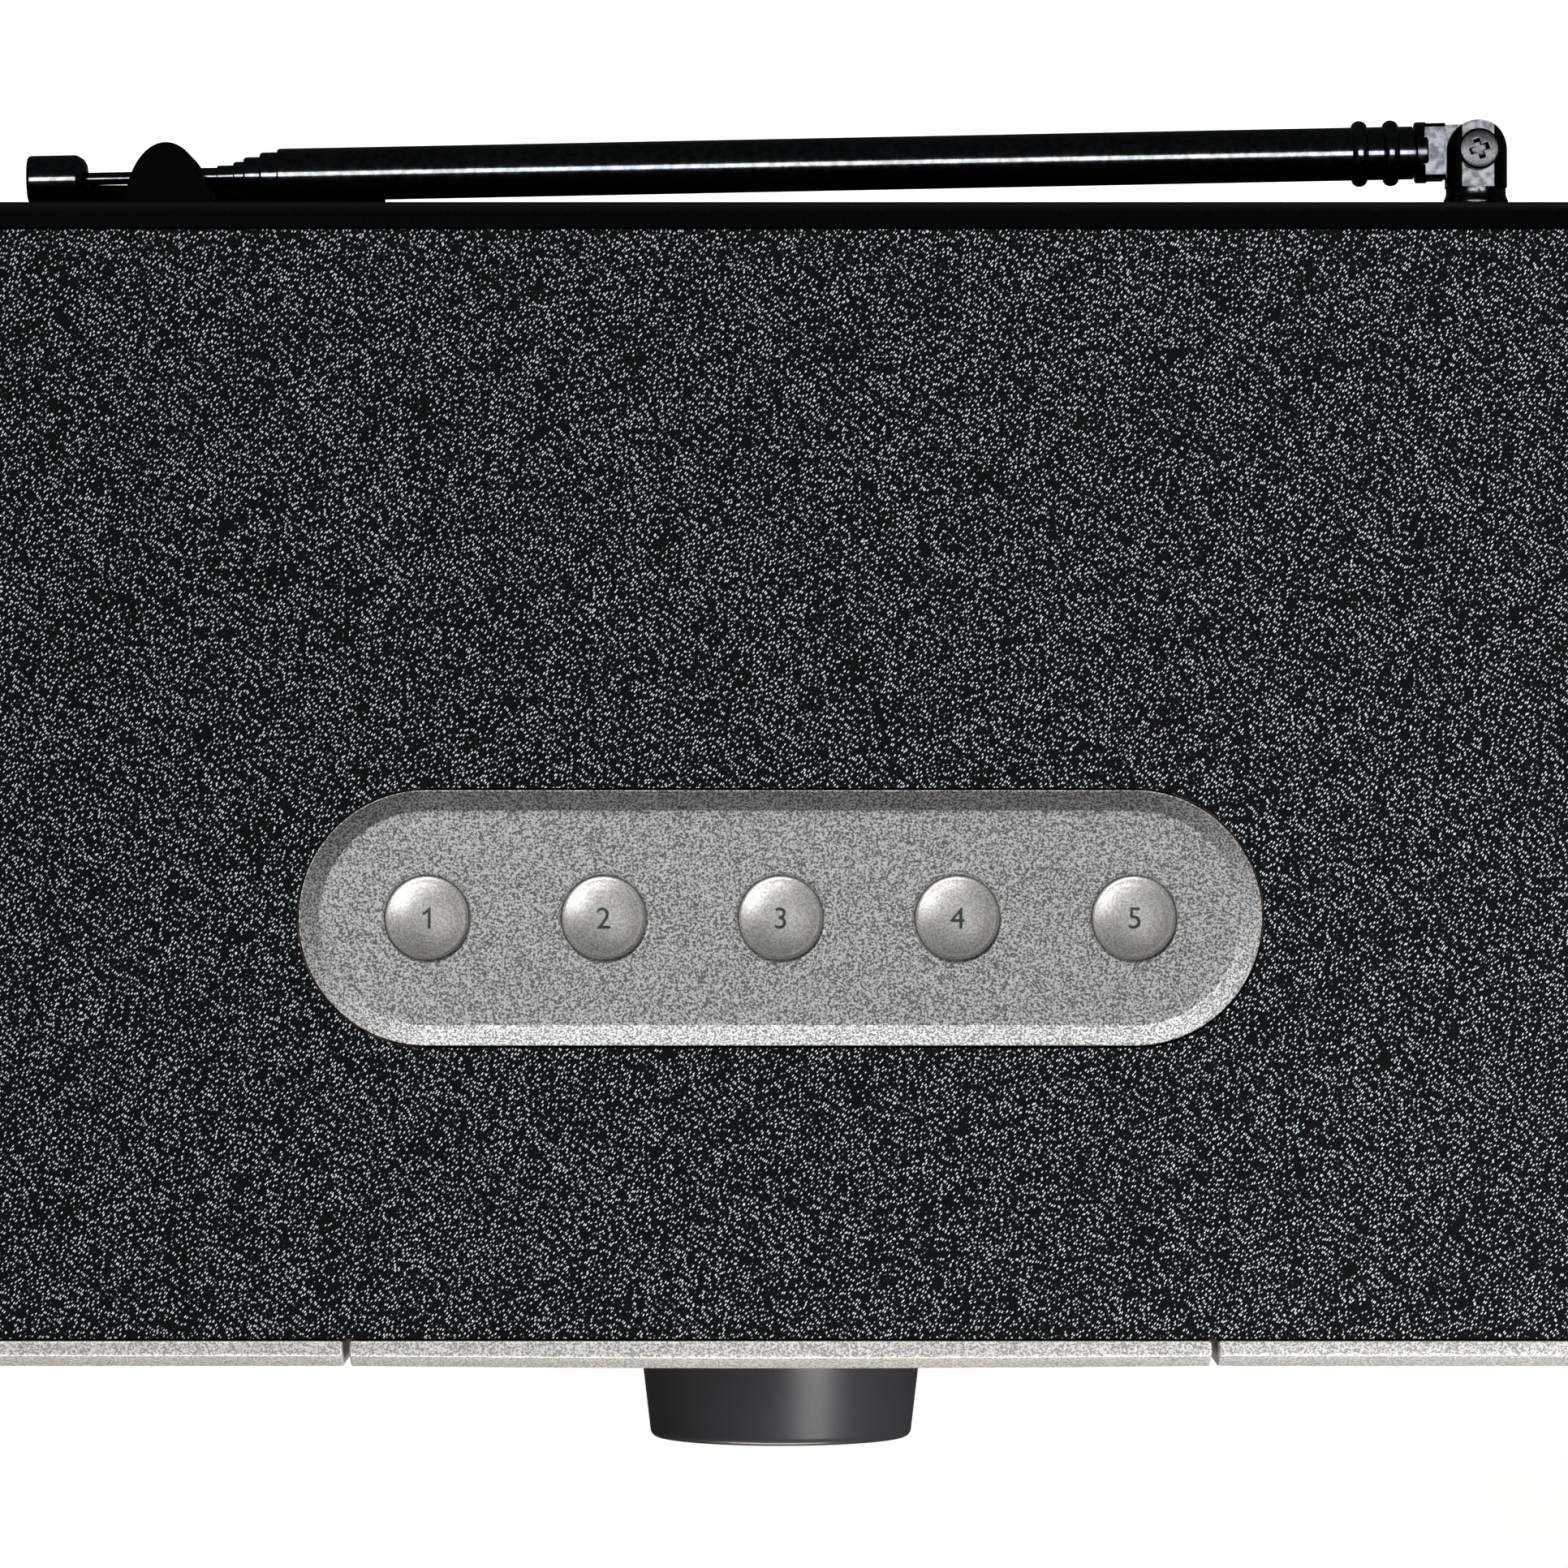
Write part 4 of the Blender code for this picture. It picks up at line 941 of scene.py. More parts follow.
def make_cap():
    """A domed cap on its stem, standing on the Z axis."""
    cap_face = PRESET_RADIUS - CAP_EDGE
    profile = [
        *dome(cap_face, CAP_CROWN, CAP_DOME, 10),
        *knob_edge_points(PRESET_RADIUS, CAP_CROWN - CAP_DOME, CAP_EDGE, 4),
        (PRESET_RADIUS, COLLAR_TOP),
        (PRESET_RADIUS + COLLAR_WIDTH, COLLAR_TOP),
        (PRESET_RADIUS + COLLAR_WIDTH, COLLAR_FOOT),
        (STEM_RADIUS, COLLAR_FOOT),
        (STEM_RADIUS, STEM_FOOT),
        (0, STEM_FOOT),
    ]
    cap = turn("preset_cap", profile, (0, 0, 0), Z, 96)
    shade(cap, 40)
    return cap


def draw_figure(number):
    """A flat filled outline: text, or for the one a drawn outline with a clear flag."""
    if number != 1:
        bpy.ops.object.text_add(location=(0, 0, 0))
        figure = bpy.context.object
        figure.data.body = str(number)
        figure.data.resolution_u = 8
        return figure
    curve = bpy.data.curves.new("one", "CURVE")
    curve.dimensions = "2D"
    curve.fill_mode = "BOTH"
    outline = curve.splines.new("POLY")
    outline.points.add(len(ONE_OUTLINE) - 1)
    for point, (x, y) in zip(outline.points, ONE_OUTLINE):
        point.co = (x, y, 0, 1)
    outline.use_cyclic_u = True
    figure = bpy.data.objects.new("one", curve)
    bpy.context.collection.objects.link(figure)
    return figure


def make_numeral(number, place, cap):
    """Print a number on a cap: size it, hang it over the cap and drop it onto the dome."""
    choose(draw_figure(number))
    bpy.ops.object.convert(target="MESH")
    numeral = bpy.context.object
    numeral.name = numeral.data.name = f"numeral_{number}"
    corners = [point.co for point in numeral.data.vertices]
    left, right = min(co.x for co in corners), max(co.x for co in corners)
    bottom, top = min(co.y for co in corners), max(co.y for co in corners)
    size = NUMERAL_HEIGHT / (top - bottom)
    numeral.scale = (size, size, 1)
    numeral.location = (
        place.x - size * (left + right) / 2,
        place.y - size * (bottom + top) / 2,
        place.z + CAP_CROWN + 1 * MM,
    )
    settle(numeral)
    start_edit(numeral)
    bpy.ops.mesh.select_all(action="SELECT")
    bpy.ops.mesh.quads_convert_to_tris()
    bpy.ops.mesh.subdivide(number_cuts=2)
    end_edit()
    apply(
        numeral,
        "SHRINKWRAP",
        target=cap,
        wrap_method="PROJECT",
        use_project_z=True,
        use_negative_direction=True,
        use_positive_direction=False,
        offset=INK,
    )
    apply(numeral, "SOLIDIFY", thickness=INK / 2, offset=1)
    finish(numeral, f"preset_button_{number}", numeral_ink, "silver_button")


for number, cap in copies(make_cap(), presets).items():
    body = f"preset_button_{number}"
    finish(cap, body, button_silver, "silver_button", body)
    make_numeral(number, presets[number], cap)
print("caps:", len(presets))

# %% [markdown]
# ## Rear cover
#
# The back is a moulded cover with rounded edges. It carries a black ledge under the folded
# antenna, a dark block that fills the shade between the rod and the cabinet, so it is painted
# shade in solid form. It also has slots that let the warm air out, and holes for the screws,
# sockets and antenna bush.

# %% Cover
REAR_EDGE = 1.6 * MM
SHADE_LEDGE_REACH = 5.2 * MM
SHADE_LEDGE_LENGTH = 52.1 * MM
SHADE_LEDGE_THICKNESS = 4 * MM
SUNK_RADIUS = 3.5 * MM
SUNK_DEPTH = 2.3 * MM
SHANK_HOLE = 1.8 * MM
BUSH_HOLE = 4.9 * MM
SLOT_COUNT = 9
SLOT_PITCH = 7 * MM
SLOT_HALF_WIDTH = 1.2 * MM
SLOT_DEPTH = 1.6 * MM
cover_low, cover_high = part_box("rear_cover")
rear_face = cover_high.y - SHADE_LEDGE_REACH
bush_low, bush_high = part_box("antenna_bush")
bush_middle = (bush_low + bush_high) / 2
elbow = Vector(joints["antenna_elbow"]["pos_m"])
tip_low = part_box("antenna_tip")[0]
clip_low, clip_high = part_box("antenna_clip")

shell_high = (cover_high.x, rear_face, cover_high.z)
cover = block("moulded_cover", cover_low, shell_high, EDGE_RADIUS, Y, 14)
start_edit(cover, "FACE", facing(Y))
bpy.ops.mesh.region_to_loop()
bpy.ops.mesh.bevel(offset=REAR_EDGE, segments=6, affect="EDGES")
end_edit()
# The ledge is painted shade: a black block that fills the dark gap under the folded antenna.
shade_ledge_top = clip_low.z - 0.3 * MM
shade_ledge_low = (tip_low.x - 0.4 * MM, rear_face - 1 * MM, shade_ledge_top - SHADE_LEDGE_THICKNESS)
shade_ledge_high = (tip_low.x + SHADE_LEDGE_LENGTH, cover_high.y, shade_ledge_top)
carve(cover, block("ledge", shade_ledge_low, shade_ledge_high, 1 * MM, Z, 6), operation="UNION")
tool_reach = 12 * MM
beyond = Y * tool_reach
sunk_hole = [
    (0, tool_reach),
    (SUNK_RADIUS, tool_reach),
    (SUNK_RADIUS, -SUNK_DEPTH),
    (SHANK_HOLE, -SUNK_DEPTH),
    (SHANK_HOLE, -tool_reach),
    (0, -tool_reach),
]
tools = []
for number in range(1, 5):
    low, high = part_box(f"rear_screw_{number}")
    middle = Vector(((low.x + high.x) / 2, rear_face, (low.z + high.z) / 2))
    tools.append(turn("sunk_hole", sunk_hole, middle, Y, 48))
sockets = {}
for key in ("dc", "aux", "headphone"):
    low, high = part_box(f"{key}_socket")
    middle = Vector(((low.x + high.x) / 2, high.y, (low.z + high.z) / 2))
    sockets[key] = (middle, (high.x - low.x) / 2)
    tools.append(cylinder("hole", sockets[key][1] + 0.3 * MM, middle - beyond, middle + beyond))
bush_axis = Vector((bush_middle.x, rear_face, bush_middle.z))
tools.append(cylinder("hole", BUSH_HOLE, bush_axis - beyond, bush_axis + beyond))
for number in range(SLOT_COUNT):
    at = (number - (SLOT_COUNT - 1) / 2) * SLOT_PITCH
    slot_low = (at - SLOT_HALF_WIDTH, rear_face - SLOT_DEPTH, cabinet_middle.z - 16 * MM)
    slot_high = (at + SLOT_HALF_WIDTH, rear_face + 5 * MM, cabinet_middle.z + 8 * MM)
    tools.append(block("slot", slot_low, slot_high, SLOT_HALF_WIDTH - 0.05 * MM, Y, 8))
carve(cover, *tools)
soften(cover, 0.25 * MM, 2)
finish(cover, "root", black_plastic, "black_plastic", "rear_cover")
print("cover faces:", len(cover.data.polygons))

# %% [markdown]
# ## Screws with a cross recess
#
# A screw head is a turned dome. The cross recess is two crossed blocks whose lower ends are
# drawn together, cut out of the head. The rear screws and the elbow screw share the recipe. The
# four rear screws are copies of one.

# %% Screws
ARM_REACH = 0.74
ARM_HALF_WIDTH = 0.21
ARM_DEPTH = 0.75
CROSS_TURN = 20
SHANK_RADIUS = 1.5 * MM


def cross_screw(name, radius, head, place, direction, shank_radius, shank_length, dome_height):
    """A domed head whose top is at the place, with its shank behind it."""
    profile = [
        *dome(radius - 0.3 * MM, 0, dome_height, 6),
        (radius, -dome_height - 0.3 * MM),
        (radius, -head),
        (shank_radius, -head),
        (shank_radius, -head - shank_length),
        (0, -head - shank_length),
    ]
    screw = turn(name, profile, (0, 0, 0), Z, 48)
    for turned in (0, 90):
        arm_low = (-radius * ARM_REACH, -radius * ARM_HALF_WIDTH, -head * ARM_DEPTH)
        arm = block("arm", arm_low, (radius * ARM_REACH, radius * ARM_HALF_WIDTH, head))
        start_edit(arm, "FACE", facing(-Z))
        bpy.ops.transform.resize(value=(0.45, 0.6, 1), center_override=(0, 0, arm_low[2]))
        end_edit()
        arm.rotation_euler = (0, 0, math.radians(turned + CROSS_TURN))
        settle(arm)
        carve(screw, arm)
    soften(screw, 0.06 * MM, 2)
    screw.rotation_euler = Vector(direction).to_track_quat("Z", "Y").to_euler()
    screw.location = place
    settle(screw)
    return screw


screw_places = {}
for number in range(1, 5):
    low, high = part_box(f"rear_screw_{number}")
    screw_places[number] = Vector(((low.x + high.x) / 2, high.y, (low.z + high.z) / 2))
cover_screw = cross_screw(
    "cover_screw", 3.2 * MM, 1.9 * MM, (0, 0, 0), Y, SHANK_RADIUS, 12 * MM, 0.5 * MM
)
for number, screw in copies(cover_screw, screw_places).items():
    finish(screw, "root", zinc_steel, "plated_steel", f"rear_screw_{number}")
print("rear screws:", len(screw_places))

# %% [markdown]
# ## Sockets
#
# Each socket is a turned barrel with a flared mouth. The power socket has a pin in its middle.

# %% Sockets
SOCKET_BORES = {"dc": 3.2 * MM, "aux": 1.8 * MM, "headphone": 1.8 * MM}
BORE_FLOOR = -9 * MM
BARREL_END = -10.5 * MM
PIN_RADIUS = 1 * MM
for key, (middle, radius) in sockets.items():
    bore = SOCKET_BORES[key]
    profile = [(0, BORE_FLOOR)]
    if key == "dc":
        pin_end = dome(PIN_RADIUS - 0.1 * MM, -2 * MM, 0.4 * MM, 4)
        profile = [*pin_end, (PIN_RADIUS, -2.8 * MM), (PIN_RADIUS, BORE_FLOOR)]
    profile += [
        (bore, BORE_FLOOR),
        (bore, -0.5 * MM),
        (bore + 0.5 * MM, 0),
        (radius - 0.3 * MM, 0),
        (radius, -0.3 * MM),
        (radius, BARREL_END),
        (0, BARREL_END),
    ]
    barrel = turn(f"{key}_barrel", profile, middle, Y, 48)
    shade(barrel, 30)
    finish(barrel, "root", smooth_black, "black_plastic", f"{key}_socket")
    print(key, "socket at:", [round(value, 4) for value in middle])

# %% [markdown]
# ## Feet
#
# The feet are moulded rubber discs with a rounded lower edge and a shallow ring on the
# underside, one disc copied to four places.

# %% Rubber feet
foot_places = {}
for end in ("front", "rear"):
    for side in ("left", "right"):
        low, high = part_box(f"foot_{end}_{side}")
        foot_places[f"{end}_{side}"] = ((low.x + high.x) / 2, (low.y + high.y) / 2, low.z)
foot_height = high.z - low.z
foot_radius = (high.x - low.x) / 2
foot_profile = [
    (0, foot_height),
    (foot_radius, foot_height),
    (foot_radius, 1.6 * MM),
    (foot_radius - 0.5 * MM, 0.5 * MM),
    (foot_radius - 1.6 * MM, 0),
    (foot_radius - 3 * MM, 0),
    (foot_radius - 3.4 * MM, 0.4 * MM),
    (foot_radius - 4.4 * MM, 0.4 * MM),
    (foot_radius - 4.8 * MM, 0),
    (0, 0),
]
rubber_foot = turn("rubber_foot", foot_profile, (0, 0, 0), Z, 64)
soften(rubber_foot, 0.2 * MM, 2, 20)
for key, foot in copies(rubber_foot, foot_places).items():
    finish(foot, "root", foot_rubber, "rubber", f"foot_{key}")
print("feet:", len(foot_places), "radius", round(foot_radius, 5))

# %% [markdown]
# ## Telescopic antenna
#
# The tubes nest in each other, so each is a turned ring along one axis. The axis comes from the
# joints, and each tube's ends are read from its solid: the distances along the axis of its
# lowest and highest point. Spinning with many sides keeps the thin highlight straight.

# %% Antenna axis
antenna_axis = Vector(joints["section_2_slide"]["axis"]).normalized()


def along_antenna(node):
    """Where a solid starts and ends along the antenna, and its outer radius."""
    points = [point.co - elbow for point in frame["nodes"][node].data.vertices]
    distances = [point.dot(antenna_axis) for point in points]
    return min(distances), max(distances), max(point.z for point in points)


def make_turned(name, profile, body, node, slot="black_chrome", material=None, edge=0.12 * MM):
    """Turn, round and finish one piece that lies along the antenna's axis."""
    piece = turn(name, profile, elbow, antenna_axis, 96)
    soften(piece, edge, 3, 25)
    finish(piece, body, material or black_chrome, slot, node)
    return piece


# %% [markdown]
# Each tube's front end is rolled in round the next one, and the first also has two rolled beads
# near the elbow.

# %% Tubes
TUBE_WALLS = (0.3, 0.4, 0.4, 0.3, 0.15, 0.18)
BEADS = (12.6, 17.2)
BEAD_HEIGHT = 0.95 * MM
BEAD_HALF_WIDTH = 1.15 * MM
TUBE_RADIUS = 3.9 * MM


def bead(middle, radius):
    """A rolled bead as a half round on the tube."""
    turns = [math.pi * step / 8 for step in range(9)]
    return [
        (radius + BEAD_HEIGHT * math.sin(turn), middle + BEAD_HALF_WIDTH * math.cos(turn))
        for turn in turns
    ]


for number, wall in enumerate(TUBE_WALLS, 1):
    start, end, outside = along_antenna(f"antenna_tube_{number}")
    outside = TUBE_RADIUS if number == 1 else outside
    inside = outside - wall * MM
    roll = min(0.55 * MM, wall * MM * 1.4)
    profile = [
        (inside, end),
        (outside - roll * 0.5, end),
        (outside - roll * 0.12, end - roll * 0.4),
        (outside, end - roll),
    ]
    if number == 1:
        for place in reversed(BEADS):
            profile += bead(place * MM, outside)
    profile += [(outside, start), (inside, start)]
    body = "antenna_base" if number == 1 else f"antenna_section_{number}"
    make_turned(f"tube_{number}", profile, body, f"antenna_tube_{number}", edge=0.04 * MM)
    print("tube", number, "radius:", round(outside, 5))

# %% [markdown]
# The last section is a solid rod. Its tip is a turned cap with a rounded end, bored to fit it.

# %% Rod and tip
TIP_EDGE = 0.6 * MM
TIP_BORE = 1.25 * MM
TIP_BORE_DEPTH = 4 * MM
start, end, outside = along_antenna("antenna_rod")
rod = [(0, end), (outside, end), (outside, start), (0, start)]
make_turned("tip_rod", rod, "antenna_section_7", "antenna_rod")
start, end, outside = along_antenna("antenna_tip")
tip = [
    (0, end),
    (outside - TIP_EDGE, end),
    *knob_edge_points(outside, end, TIP_EDGE, 3),
    (outside, start + 1.6 * MM),
    (outside - 0.25 * MM, start + 1.1 * MM),
    (outside - 0.7 * MM, start + 0.45 * MM),
    (outside - 1.5 * MM, start),
    (TIP_BORE, start),
    (TIP_BORE, start + TIP_BORE_DEPTH),
    (0, start + TIP_BORE_DEPTH),
]
make_turned("tip_cap", tip, "antenna_section_7", "antenna_tip", edge=0.08 * MM)

# %% [markdown]
# ## Elbow
#
# The elbow has a fork, which turns in the bush, and a tongue that folds in the fork's slot. The
# fork is a turned neck with a rounded block welded to it and a slot cut through. Its block is
# trimmed by a cylinder along the neck, so that its flat top ends in curved shoulders.

# %% Fork
FORK_RADIUS = 4.4 * MM
FORK_SHOULDER = FORK_RADIUS * 1.12
NECK_RADIUS = 2.5 * MM
NECK_LENGTH = 5.6 * MM
SLOT_HALF = 1.8 * MM
PIVOT_HOLE = 1.8 * MM
seat = bush_high.y + 0.3 * MM - elbow.y
fork_profile = [
    (0, -FORK_RADIUS - 0.2 * MM),
    (FORK_RADIUS, -FORK_RADIUS - 0.2 * MM),
    (FORK_RADIUS, seat + 1.3 * MM),
    (FORK_RADIUS + 0.12 * MM, seat + 0.9 * MM),
    (FORK_RADIUS + 0.35 * MM, seat + 0.4 * MM),
    (FORK_RADIUS + 0.35 * MM, seat),
    (NECK_RADIUS, seat),
    (NECK_RADIUS, seat - NECK_LENGTH),
    (0, seat - NECK_LENGTH),
]


def round_off(piece, direction, beyond_here, radius, segments):
    """Round the upright edges at the end that lies beyond a distance along a direction."""

    def is_end_upright(edge):
        first, second = edge.verts
        at_end = min(first.co.dot(direction), second.co.dot(direction)) > beyond_here
        return at_end and abs(first.co.z - second.co.z) > MM

    start_edit(piece, "EDGE", is_end_upright)
    bpy.ops.mesh.bevel(offset=radius, segments=segments, affect="EDGES")
    end_edit()


fork = turn("elbow_fork", fork_profile, elbow, Y, 64)
fork_low = elbow + Vector((-FORK_RADIUS, -FORK_RADIUS - 1 * MM, -FORK_RADIUS))
fork_high = elbow + Vector((FORK_RADIUS, FORK_RADIUS, FORK_RADIUS))
head = block("fork_head", fork_low, fork_high)
round_off(head, Y, elbow.y, FORK_RADIUS - 0.01 * MM, 16)
past_head = Y * 20 * MM
rounding = cylinder("rounding", FORK_SHOULDER, elbow - past_head, elbow + past_head, 96)
carve(head, rounding, operation="INTERSECT")
carve(fork, head, operation="UNION")
slot_low = elbow + Vector((-4 * FORK_RADIUS, -FORK_RADIUS - 0.35 * MM, -SLOT_HALF))
slot_high = elbow + Vector((4 * FORK_RADIUS, 4 * FORK_RADIUS, SLOT_HALF))
carve(fork, block("fork_slot", slot_low, slot_high))
through = Z * EDGE_RADIUS
carve(fork, cylinder("screw_hole", PIVOT_HOLE, elbow - through, elbow + through, 32))
soften(fork, 0.25 * MM, 3)
finish(fork, "antenna_swivel", cast_chrome, "black_chrome", "antenna_swivel")
print("fork seat:", round(seat, 5))

# %% [markdown]
# The elbow screw closes the fork from above. The bush is a stepped ring in the rear cover, in
# which the fork's neck turns.

# %% Elbow screw and bush
BUSH_RADIUS = 7 * MM
BUSH_NECK = 4.6 * MM
BUSH_BORE = 2.8 * MM
screw_place = Vector((elbow.x, elbow.y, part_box("antenna_screw")[1].z))
elbow_screw = cross_screw(
    "elbow_screw", 3 * MM, 1.7 * MM, screw_place, Z, SHANK_RADIUS, 10 * MM, 0.2 * MM
)
finish(elbow_screw, "antenna_swivel", screw_steel, "black_chrome", "antenna_screw")
bush_start = bush_low.y - rear_face
bush_end = bush_high.y - rear_face
bush_profile = [
    (BUSH_RADIUS, bush_end - 0.3 * MM),
    (BUSH_RADIUS, 0.3 * MM),
    (BUSH_NECK, 0.3 * MM),
    (BUSH_NECK, bush_start),
    (BUSH_BORE, bush_start),
    (BUSH_BORE, bush_end),
    (BUSH_RADIUS - 0.3 * MM, bush_end),
]
bush = turn("cover_bush", bush_profile, bush_axis, Y, 64)
soften(bush, 0.15 * MM, 2)
finish(bush, "root", smooth_black, "black_plastic", "antenna_bush")
print("bush length:", round(bush_end - bush_start, 4))

# %% [markdown]
# The tongue's piece is a round-ended plate that sits in the fork, a square block, a round flange
# and a plug inside the first tube. It is made along the X axis about the elbow's screw, and only
# then turned to the antenna's slant.

# %% Tongue, block and flange
BLOCK_HALF = 4.05 * MM
TONGUE_RADIUS = 4.2 * MM
TONGUE_HALF = 1.5 * MM
PLUG_RADIUS = 3.3 * MM
PLUG_END = 17 * MM
FLANGE_RADIUS = 4.5 * MM
FLANGE_INNER = 4.35 * MM
FLANGE_EDGE = 0.2 * MM
WELD = 0.5 * MM
block_start = FORK_RADIUS + 0.35 * MM
flange_start = block_start + 2.55 * MM
flange_end = flange_start + 1.75 * MM
ferrule_profile = [
    (0, PLUG_END),
    (PLUG_RADIUS, PLUG_END),
    (PLUG_RADIUS, flange_end),
    (FLANGE_INNER, flange_end),
    (FLANGE_RADIUS, flange_end - FLANGE_EDGE),
    (FLANGE_RADIUS, flange_start + FLANGE_EDGE),
    (FLANGE_INNER, flange_start),
    (0, flange_start),
]
ferrule = turn("elbow_ferrule", ferrule_profile, (0, 0, 0), -X, 64)
block_low = (-flange_start - WELD, -BLOCK_HALF, -BLOCK_HALF)
block_high = (-block_start, BLOCK_HALF, BLOCK_HALF)
square = block("ferrule_block", block_low, block_high, 0.6 * MM, X, 5)
carve(ferrule, square, operation="UNION")
tongue_half_width = TONGUE_RADIUS * 0.94
tongue_low = (-block_start - WELD, -tongue_half_width, -TONGUE_HALF)
tongue = block("tongue", tongue_low, (TONGUE_RADIUS, tongue_half_width, TONGUE_HALF))
round_off(tongue, X, 0, TONGUE_RADIUS * 0.93, 14)
carve(ferrule, tongue, operation="UNION")
carve(ferrule, cylinder("screw_hole", PIVOT_HOLE, -through, through, 32))
soften(ferrule, 0.12 * MM, 2)
ferrule.rotation_euler = (0, 0, math.atan2(-antenna_axis.y, -antenna_axis.x))
ferrule.location = elbow
settle(ferrule)
finish(ferrule, "antenna_base", cast_chrome, "black_chrome", "antenna_ferrule")
print("elbow at:", [round(value, 4) for value in elbow])

# %% [markdown]
# ## Antenna clip
#
# The clip is one soft black moulding: half an ellipse seen from above on a flared base, with a
# round channel for the antenna and a mouth at the back. A cylinder squeezed into an ellipse
# gives the outline, and its front half is cut away with the bisect operator.

# %% Clip
clip_middle = (clip_low + clip_high) / 2
CLIP_HALF_WIDTH = 6.1 * MM
CLIP_FLARE = 1.2 * MM
CLIP_BASE = 3.4 * MM
CHANNEL_RADIUS = 3.6 * MM
MOUTH_HALF = 1.8 * MM
clip_reach = clip_high.y - clip_low.y
bpy.ops.mesh.primitive_cylinder_add(
    vertices=96,
    radius=1,
    depth=clip_high.z - clip_low.z,
    location=(clip_middle.x, clip_low.y, clip_middle.z),
)
clip = bpy.context.object
clip.name = clip.data.name = "soft_clip"
clip.scale = (CLIP_HALF_WIDTH, clip_reach, 1)
settle(clip)
start_edit(clip)
bpy.ops.mesh.select_all(action="SELECT")
wall = (0, clip_low.y, 0)
bpy.ops.mesh.bisect(plane_co=wall, plane_no=Y, clear_inner=True, use_fill=True)
end_edit()
base_low = (clip_middle.x - CLIP_HALF_WIDTH, clip_low.y, clip_low.z)
base_out = clip_middle.x + CLIP_HALF_WIDTH + CLIP_FLARE
base = block("clip_base", base_low, (base_out, clip_low.y + CLIP_BASE, clip_high.z))
start_edit(base, "FACE", facing(Y))
bpy.ops.transform.resize(value=(0.86, 1, 1), center_override=clip_middle)
end_edit()
carve(clip, base, operation="UNION")
channel_middle = elbow + antenna_axis * 192 * MM
past_clip = antenna_axis * 10 * MM
channel = cylinder(
    "channel", CHANNEL_RADIUS, channel_middle - past_clip, channel_middle + past_clip, 64
)
carve(clip, channel)
mouth_low = Vector((clip_low.x - MM, channel_middle.y, channel_middle.z - MOUTH_HALF))
mouth_high = Vector((clip_high.x + MM, clip_high.y + MM, channel_middle.z + MOUTH_HALF))
carve(clip, block("mouth", mouth_low, mouth_high))
soften(clip, 0.4 * MM, 3)
finish(clip, "root", smooth_black, "black_plastic", "antenna_clip")
print("clip reach:", round(clip_reach, 4))

# %% [markdown]
# ## The pieces inside
#
# The hidden pieces keep their own solids and only get a finish each: the cones and their frames
# show a little through the grilles, and the boards and the wood show when a cover is taken off.

# %% Finishes for the solids that stay
KEPT = {
    wood_board: ("cabinet_sleeve", "front_baffle"),
    circuit_board: ("main_board", "preset_board", "socket_board"),
    zinc_steel: (
        "encoder_body",
        "knob_shaft",
        "speaker_frame_left",
        "speaker_frame_right",
        "speaker_magnet_left",
        "speaker_magnet_right",
    ),
    smooth_black: ("display_module",),
    foot_rubber: ("speaker_surround_left", "speaker_surround_right"),
    cone_paper: ("speaker_cone_left", "speaker_cone_right"),
    turned_brass: ("encoder_plunger",),
}
for material, names in KEPT.items():
    for name in names:
        solid = frame["nodes"][name]
        solid.data.materials.clear()
        solid.data.materials.append(material)
print("kept solids:", sum(len(names) for names in KEPT.values()))

# %% [markdown]
# ## Floor, light and air
#
# The floor is a plain pale sheet that glows a little, so it stays white round the radio. It is
# hidden from reflections, which keeps the black plating and plastic black.

# %% Floor
bpy.ops.mesh.primitive_plane_add(size=8, location=(0, 0, 0))
floor = bpy.context.object
floor.name = "studio_floor"
floor_finish = Finish(
    "studio_floor",
    {
        "Base Color": (0.9, 0.9, 0.9, 1),
        "Roughness": 0.9,
        "Emission Color": (1, 1, 1, 1),
        "Emission Strength": 0.9,
    },
)
floor.data.materials.append(floor_finish.material)
floor.visible_glossy = False
floor.visible_diffuse = False
print("floor size:", floor.dimensions.x)

# %% [markdown]
# A large soft light, the key, hangs behind the left of the radio, so the slopes that face it are
# bright and those that face the front are dark. The side light puts a highlight on each cap's
# upper left, and a long light overhead draws the line along the antenna. The others are weak and
# local: one sweeps across the top from the right, one lifts the silver strip from the front, one
# draws the gleam on the knob, one fills the caps and one shows the rear cover from behind.


# %% Lights
def area_light(name, place, size, power, colour=(1, 1, 1)):
    """A rectangular light that faces the top of the radio."""
    bpy.ops.object.light_add(type="AREA", location=place)
    light = bpy.context.object
    light.name = name
    light.data.shape = "RECTANGLE"
    light.data.size, light.data.size_y = size
    light.data.energy = power
    light.data.color = colour
    towards = Vector((0, 0, wrap_high.z)) - Vector(place)
    light.rotation_euler = towards.to_track_quat("-Z", "Y").to_euler()
    return light


key = area_light("key", (-0.5, 2.5, 1.8), (1.5, 1.0), 62)
side = area_light("side", (-1.5, 0.9, 2.1), (0.9, 0.9), 18)
sweep = area_light("sweep", (0.6, -0.5, 0.65), (0.5, 0.5), 18)
front = area_light("front", (-0.1, -2.0, 0.1), (1.6, 0.5), 48, (1, 0.9, 0.75))
line = area_light("line", (0, 0.05, 2.6), (3.0, 0.7), 75)
gleam = area_light("gleam", (0.85, -0.1, 1.7), (0.6, 0.9), 44)
fill = area_light("fill", (0.5, -0.2, 2.4), (1.4, 1.4), 5)
back = area_light("back", (0.7, 2.2, 0.15), (1.4, 0.4), 18)


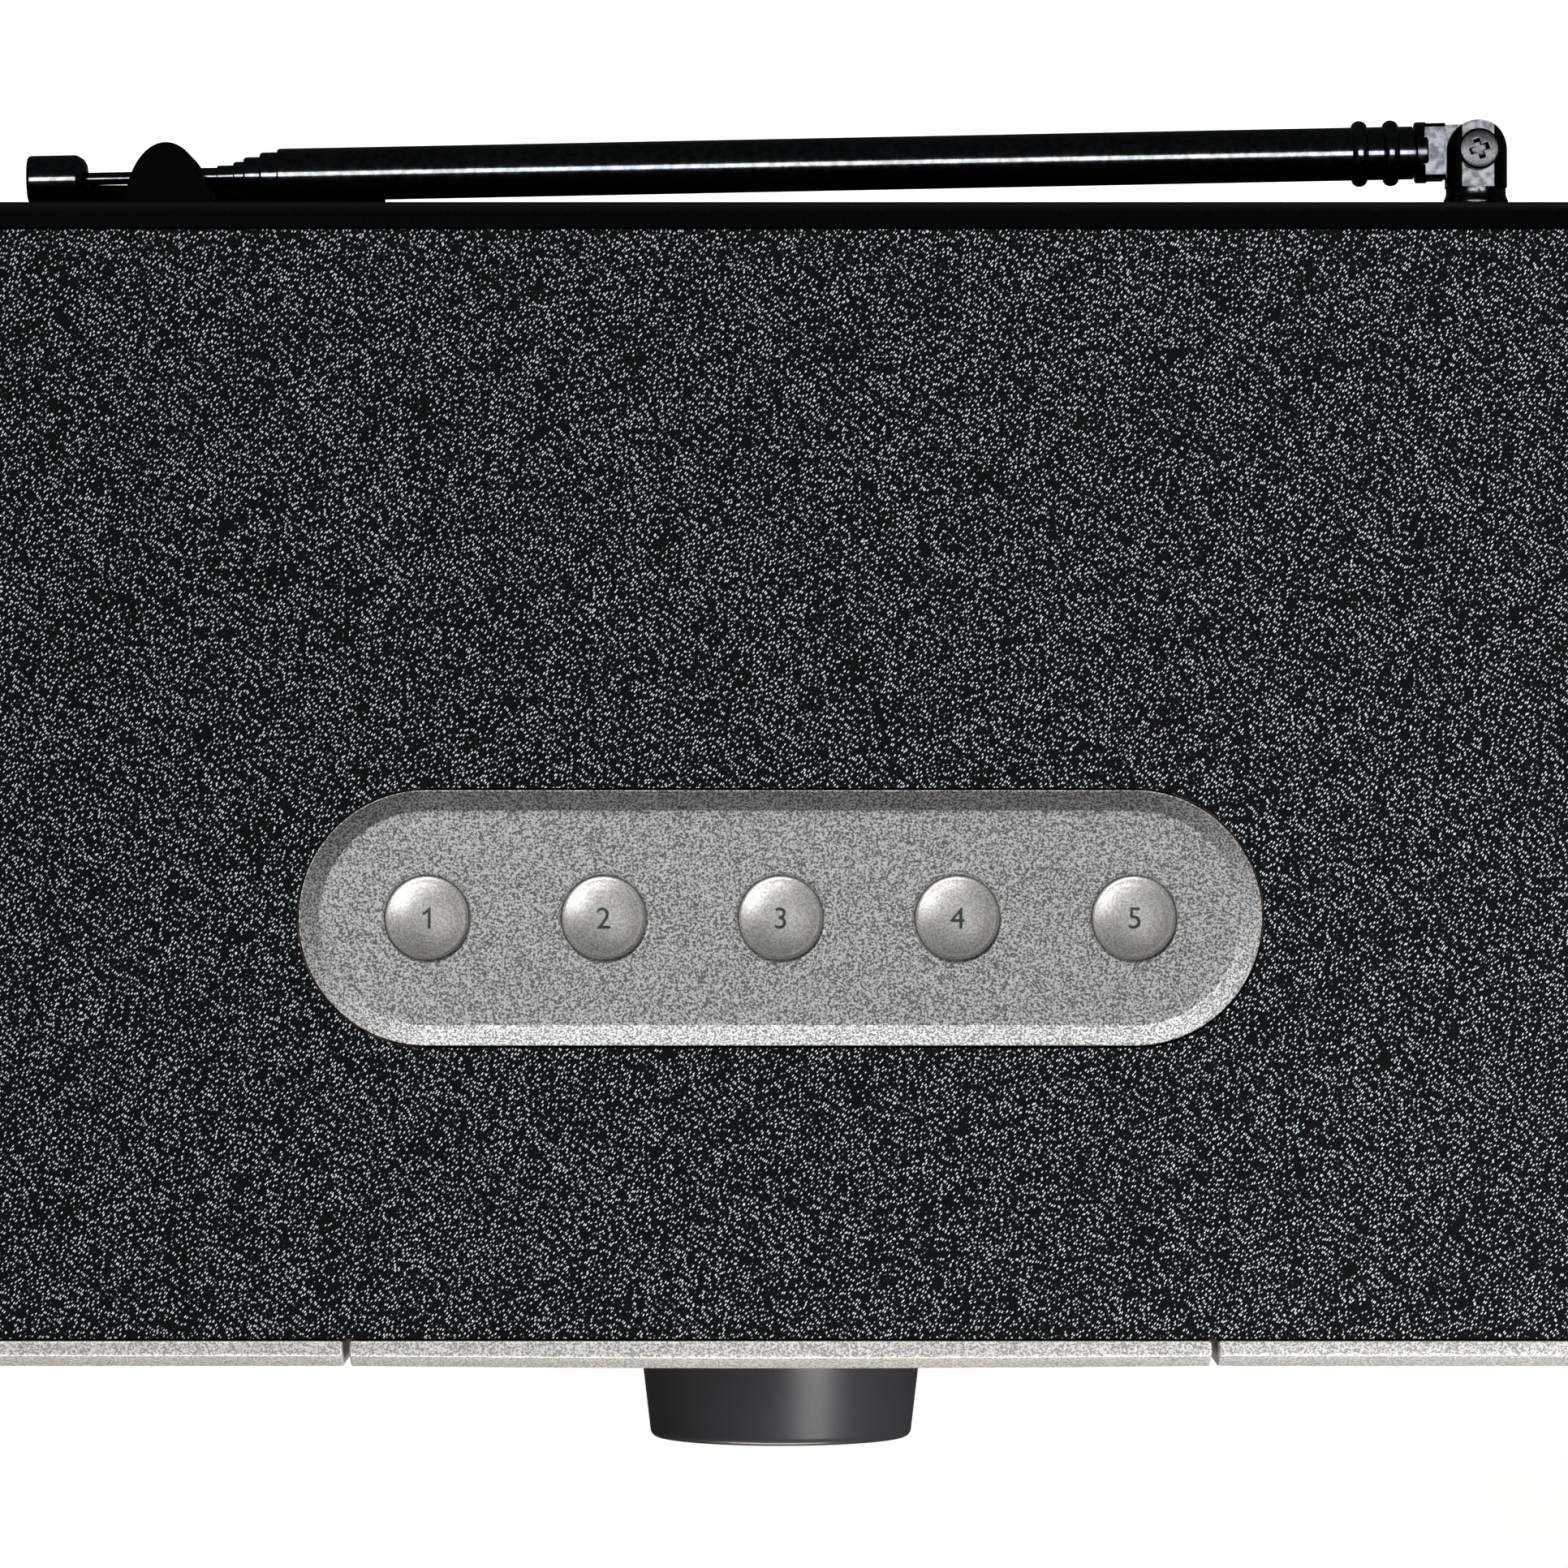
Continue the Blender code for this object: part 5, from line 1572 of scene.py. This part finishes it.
# %% [markdown]
# A product is often lit with small cards and flags that keep each light off its neighbours.
# Light linking does the same: a light gets a collection of the pieces that receive it, or of
# those that don't.

# %% Which light reaches what
def reach(light, pieces, state):
    """Let a light reach only these pieces, or all but these pieces."""
    receivers = bpy.data.collections.new(f"{light.name}_{state.lower()}")
    for piece in pieces:
        receivers.objects.link(piece)
    for member in receivers.collection_objects:
        member.light_linking.link_state = state
    light.light_linking.receiver_collection = receivers


def made_of(*finishes):
    """All pieces with one of these finishes."""
    names = {material.name for material in finishes}
    solids = [piece for piece in bpy.data.objects if piece.type == "MESH"]
    return [piece for piece in solids if names & set(piece.data.materials.keys())]


chromed = made_of(black_chrome, cast_chrome, screw_steel)
reach(key, chromed + made_of(black_plastic, smooth_black), "EXCLUDE")
reach(side, chromed, "EXCLUDE")
reach(sweep, made_of(leatherette, fascia_silver), "INCLUDE")
seen_from_front = made_of(
    fascia_silver, knob_charcoal, grille_steel, window_black, foot_rubber
)
reach(front, seen_from_front, "INCLUDE")
reach(line, chromed, "INCLUDE")
reach(gleam, [knob], "INCLUDE")
reach(fill, made_of(button_silver), "INCLUDE")
reach(back, made_of(black_plastic, smooth_black, zinc_steel, foot_rubber), "INCLUDE")
print("chromed pieces:", len(chromed))

# %% [markdown]
# The air is white where the camera looks past the floor, and dim as a source of light, because
# an even light from all sides would wash out the dark finishes.

# %% Air
AIR_LIGHT = 0.035
air = bpy.data.worlds.new("studio_air")
bpy.context.scene.world = air
air.use_nodes = True
background = air.node_tree.nodes["Background"]
light_path = air.node_tree.nodes.new("ShaderNodeLightPath")
seen = air.node_tree.nodes.new("ShaderNodeMapRange")
seen.inputs["To Min"].default_value = AIR_LIGHT
air.node_tree.links.new(light_path.outputs["Is Camera Ray"], seen.inputs["Value"])
air.node_tree.links.new(seen.outputs["Result"], background.inputs["Strength"])
background.inputs["Color"].default_value = (1, 1, 1, 1)
bpy.context.scene.view_settings.view_transform = "Standard"
print("air light:", AIR_LIGHT)
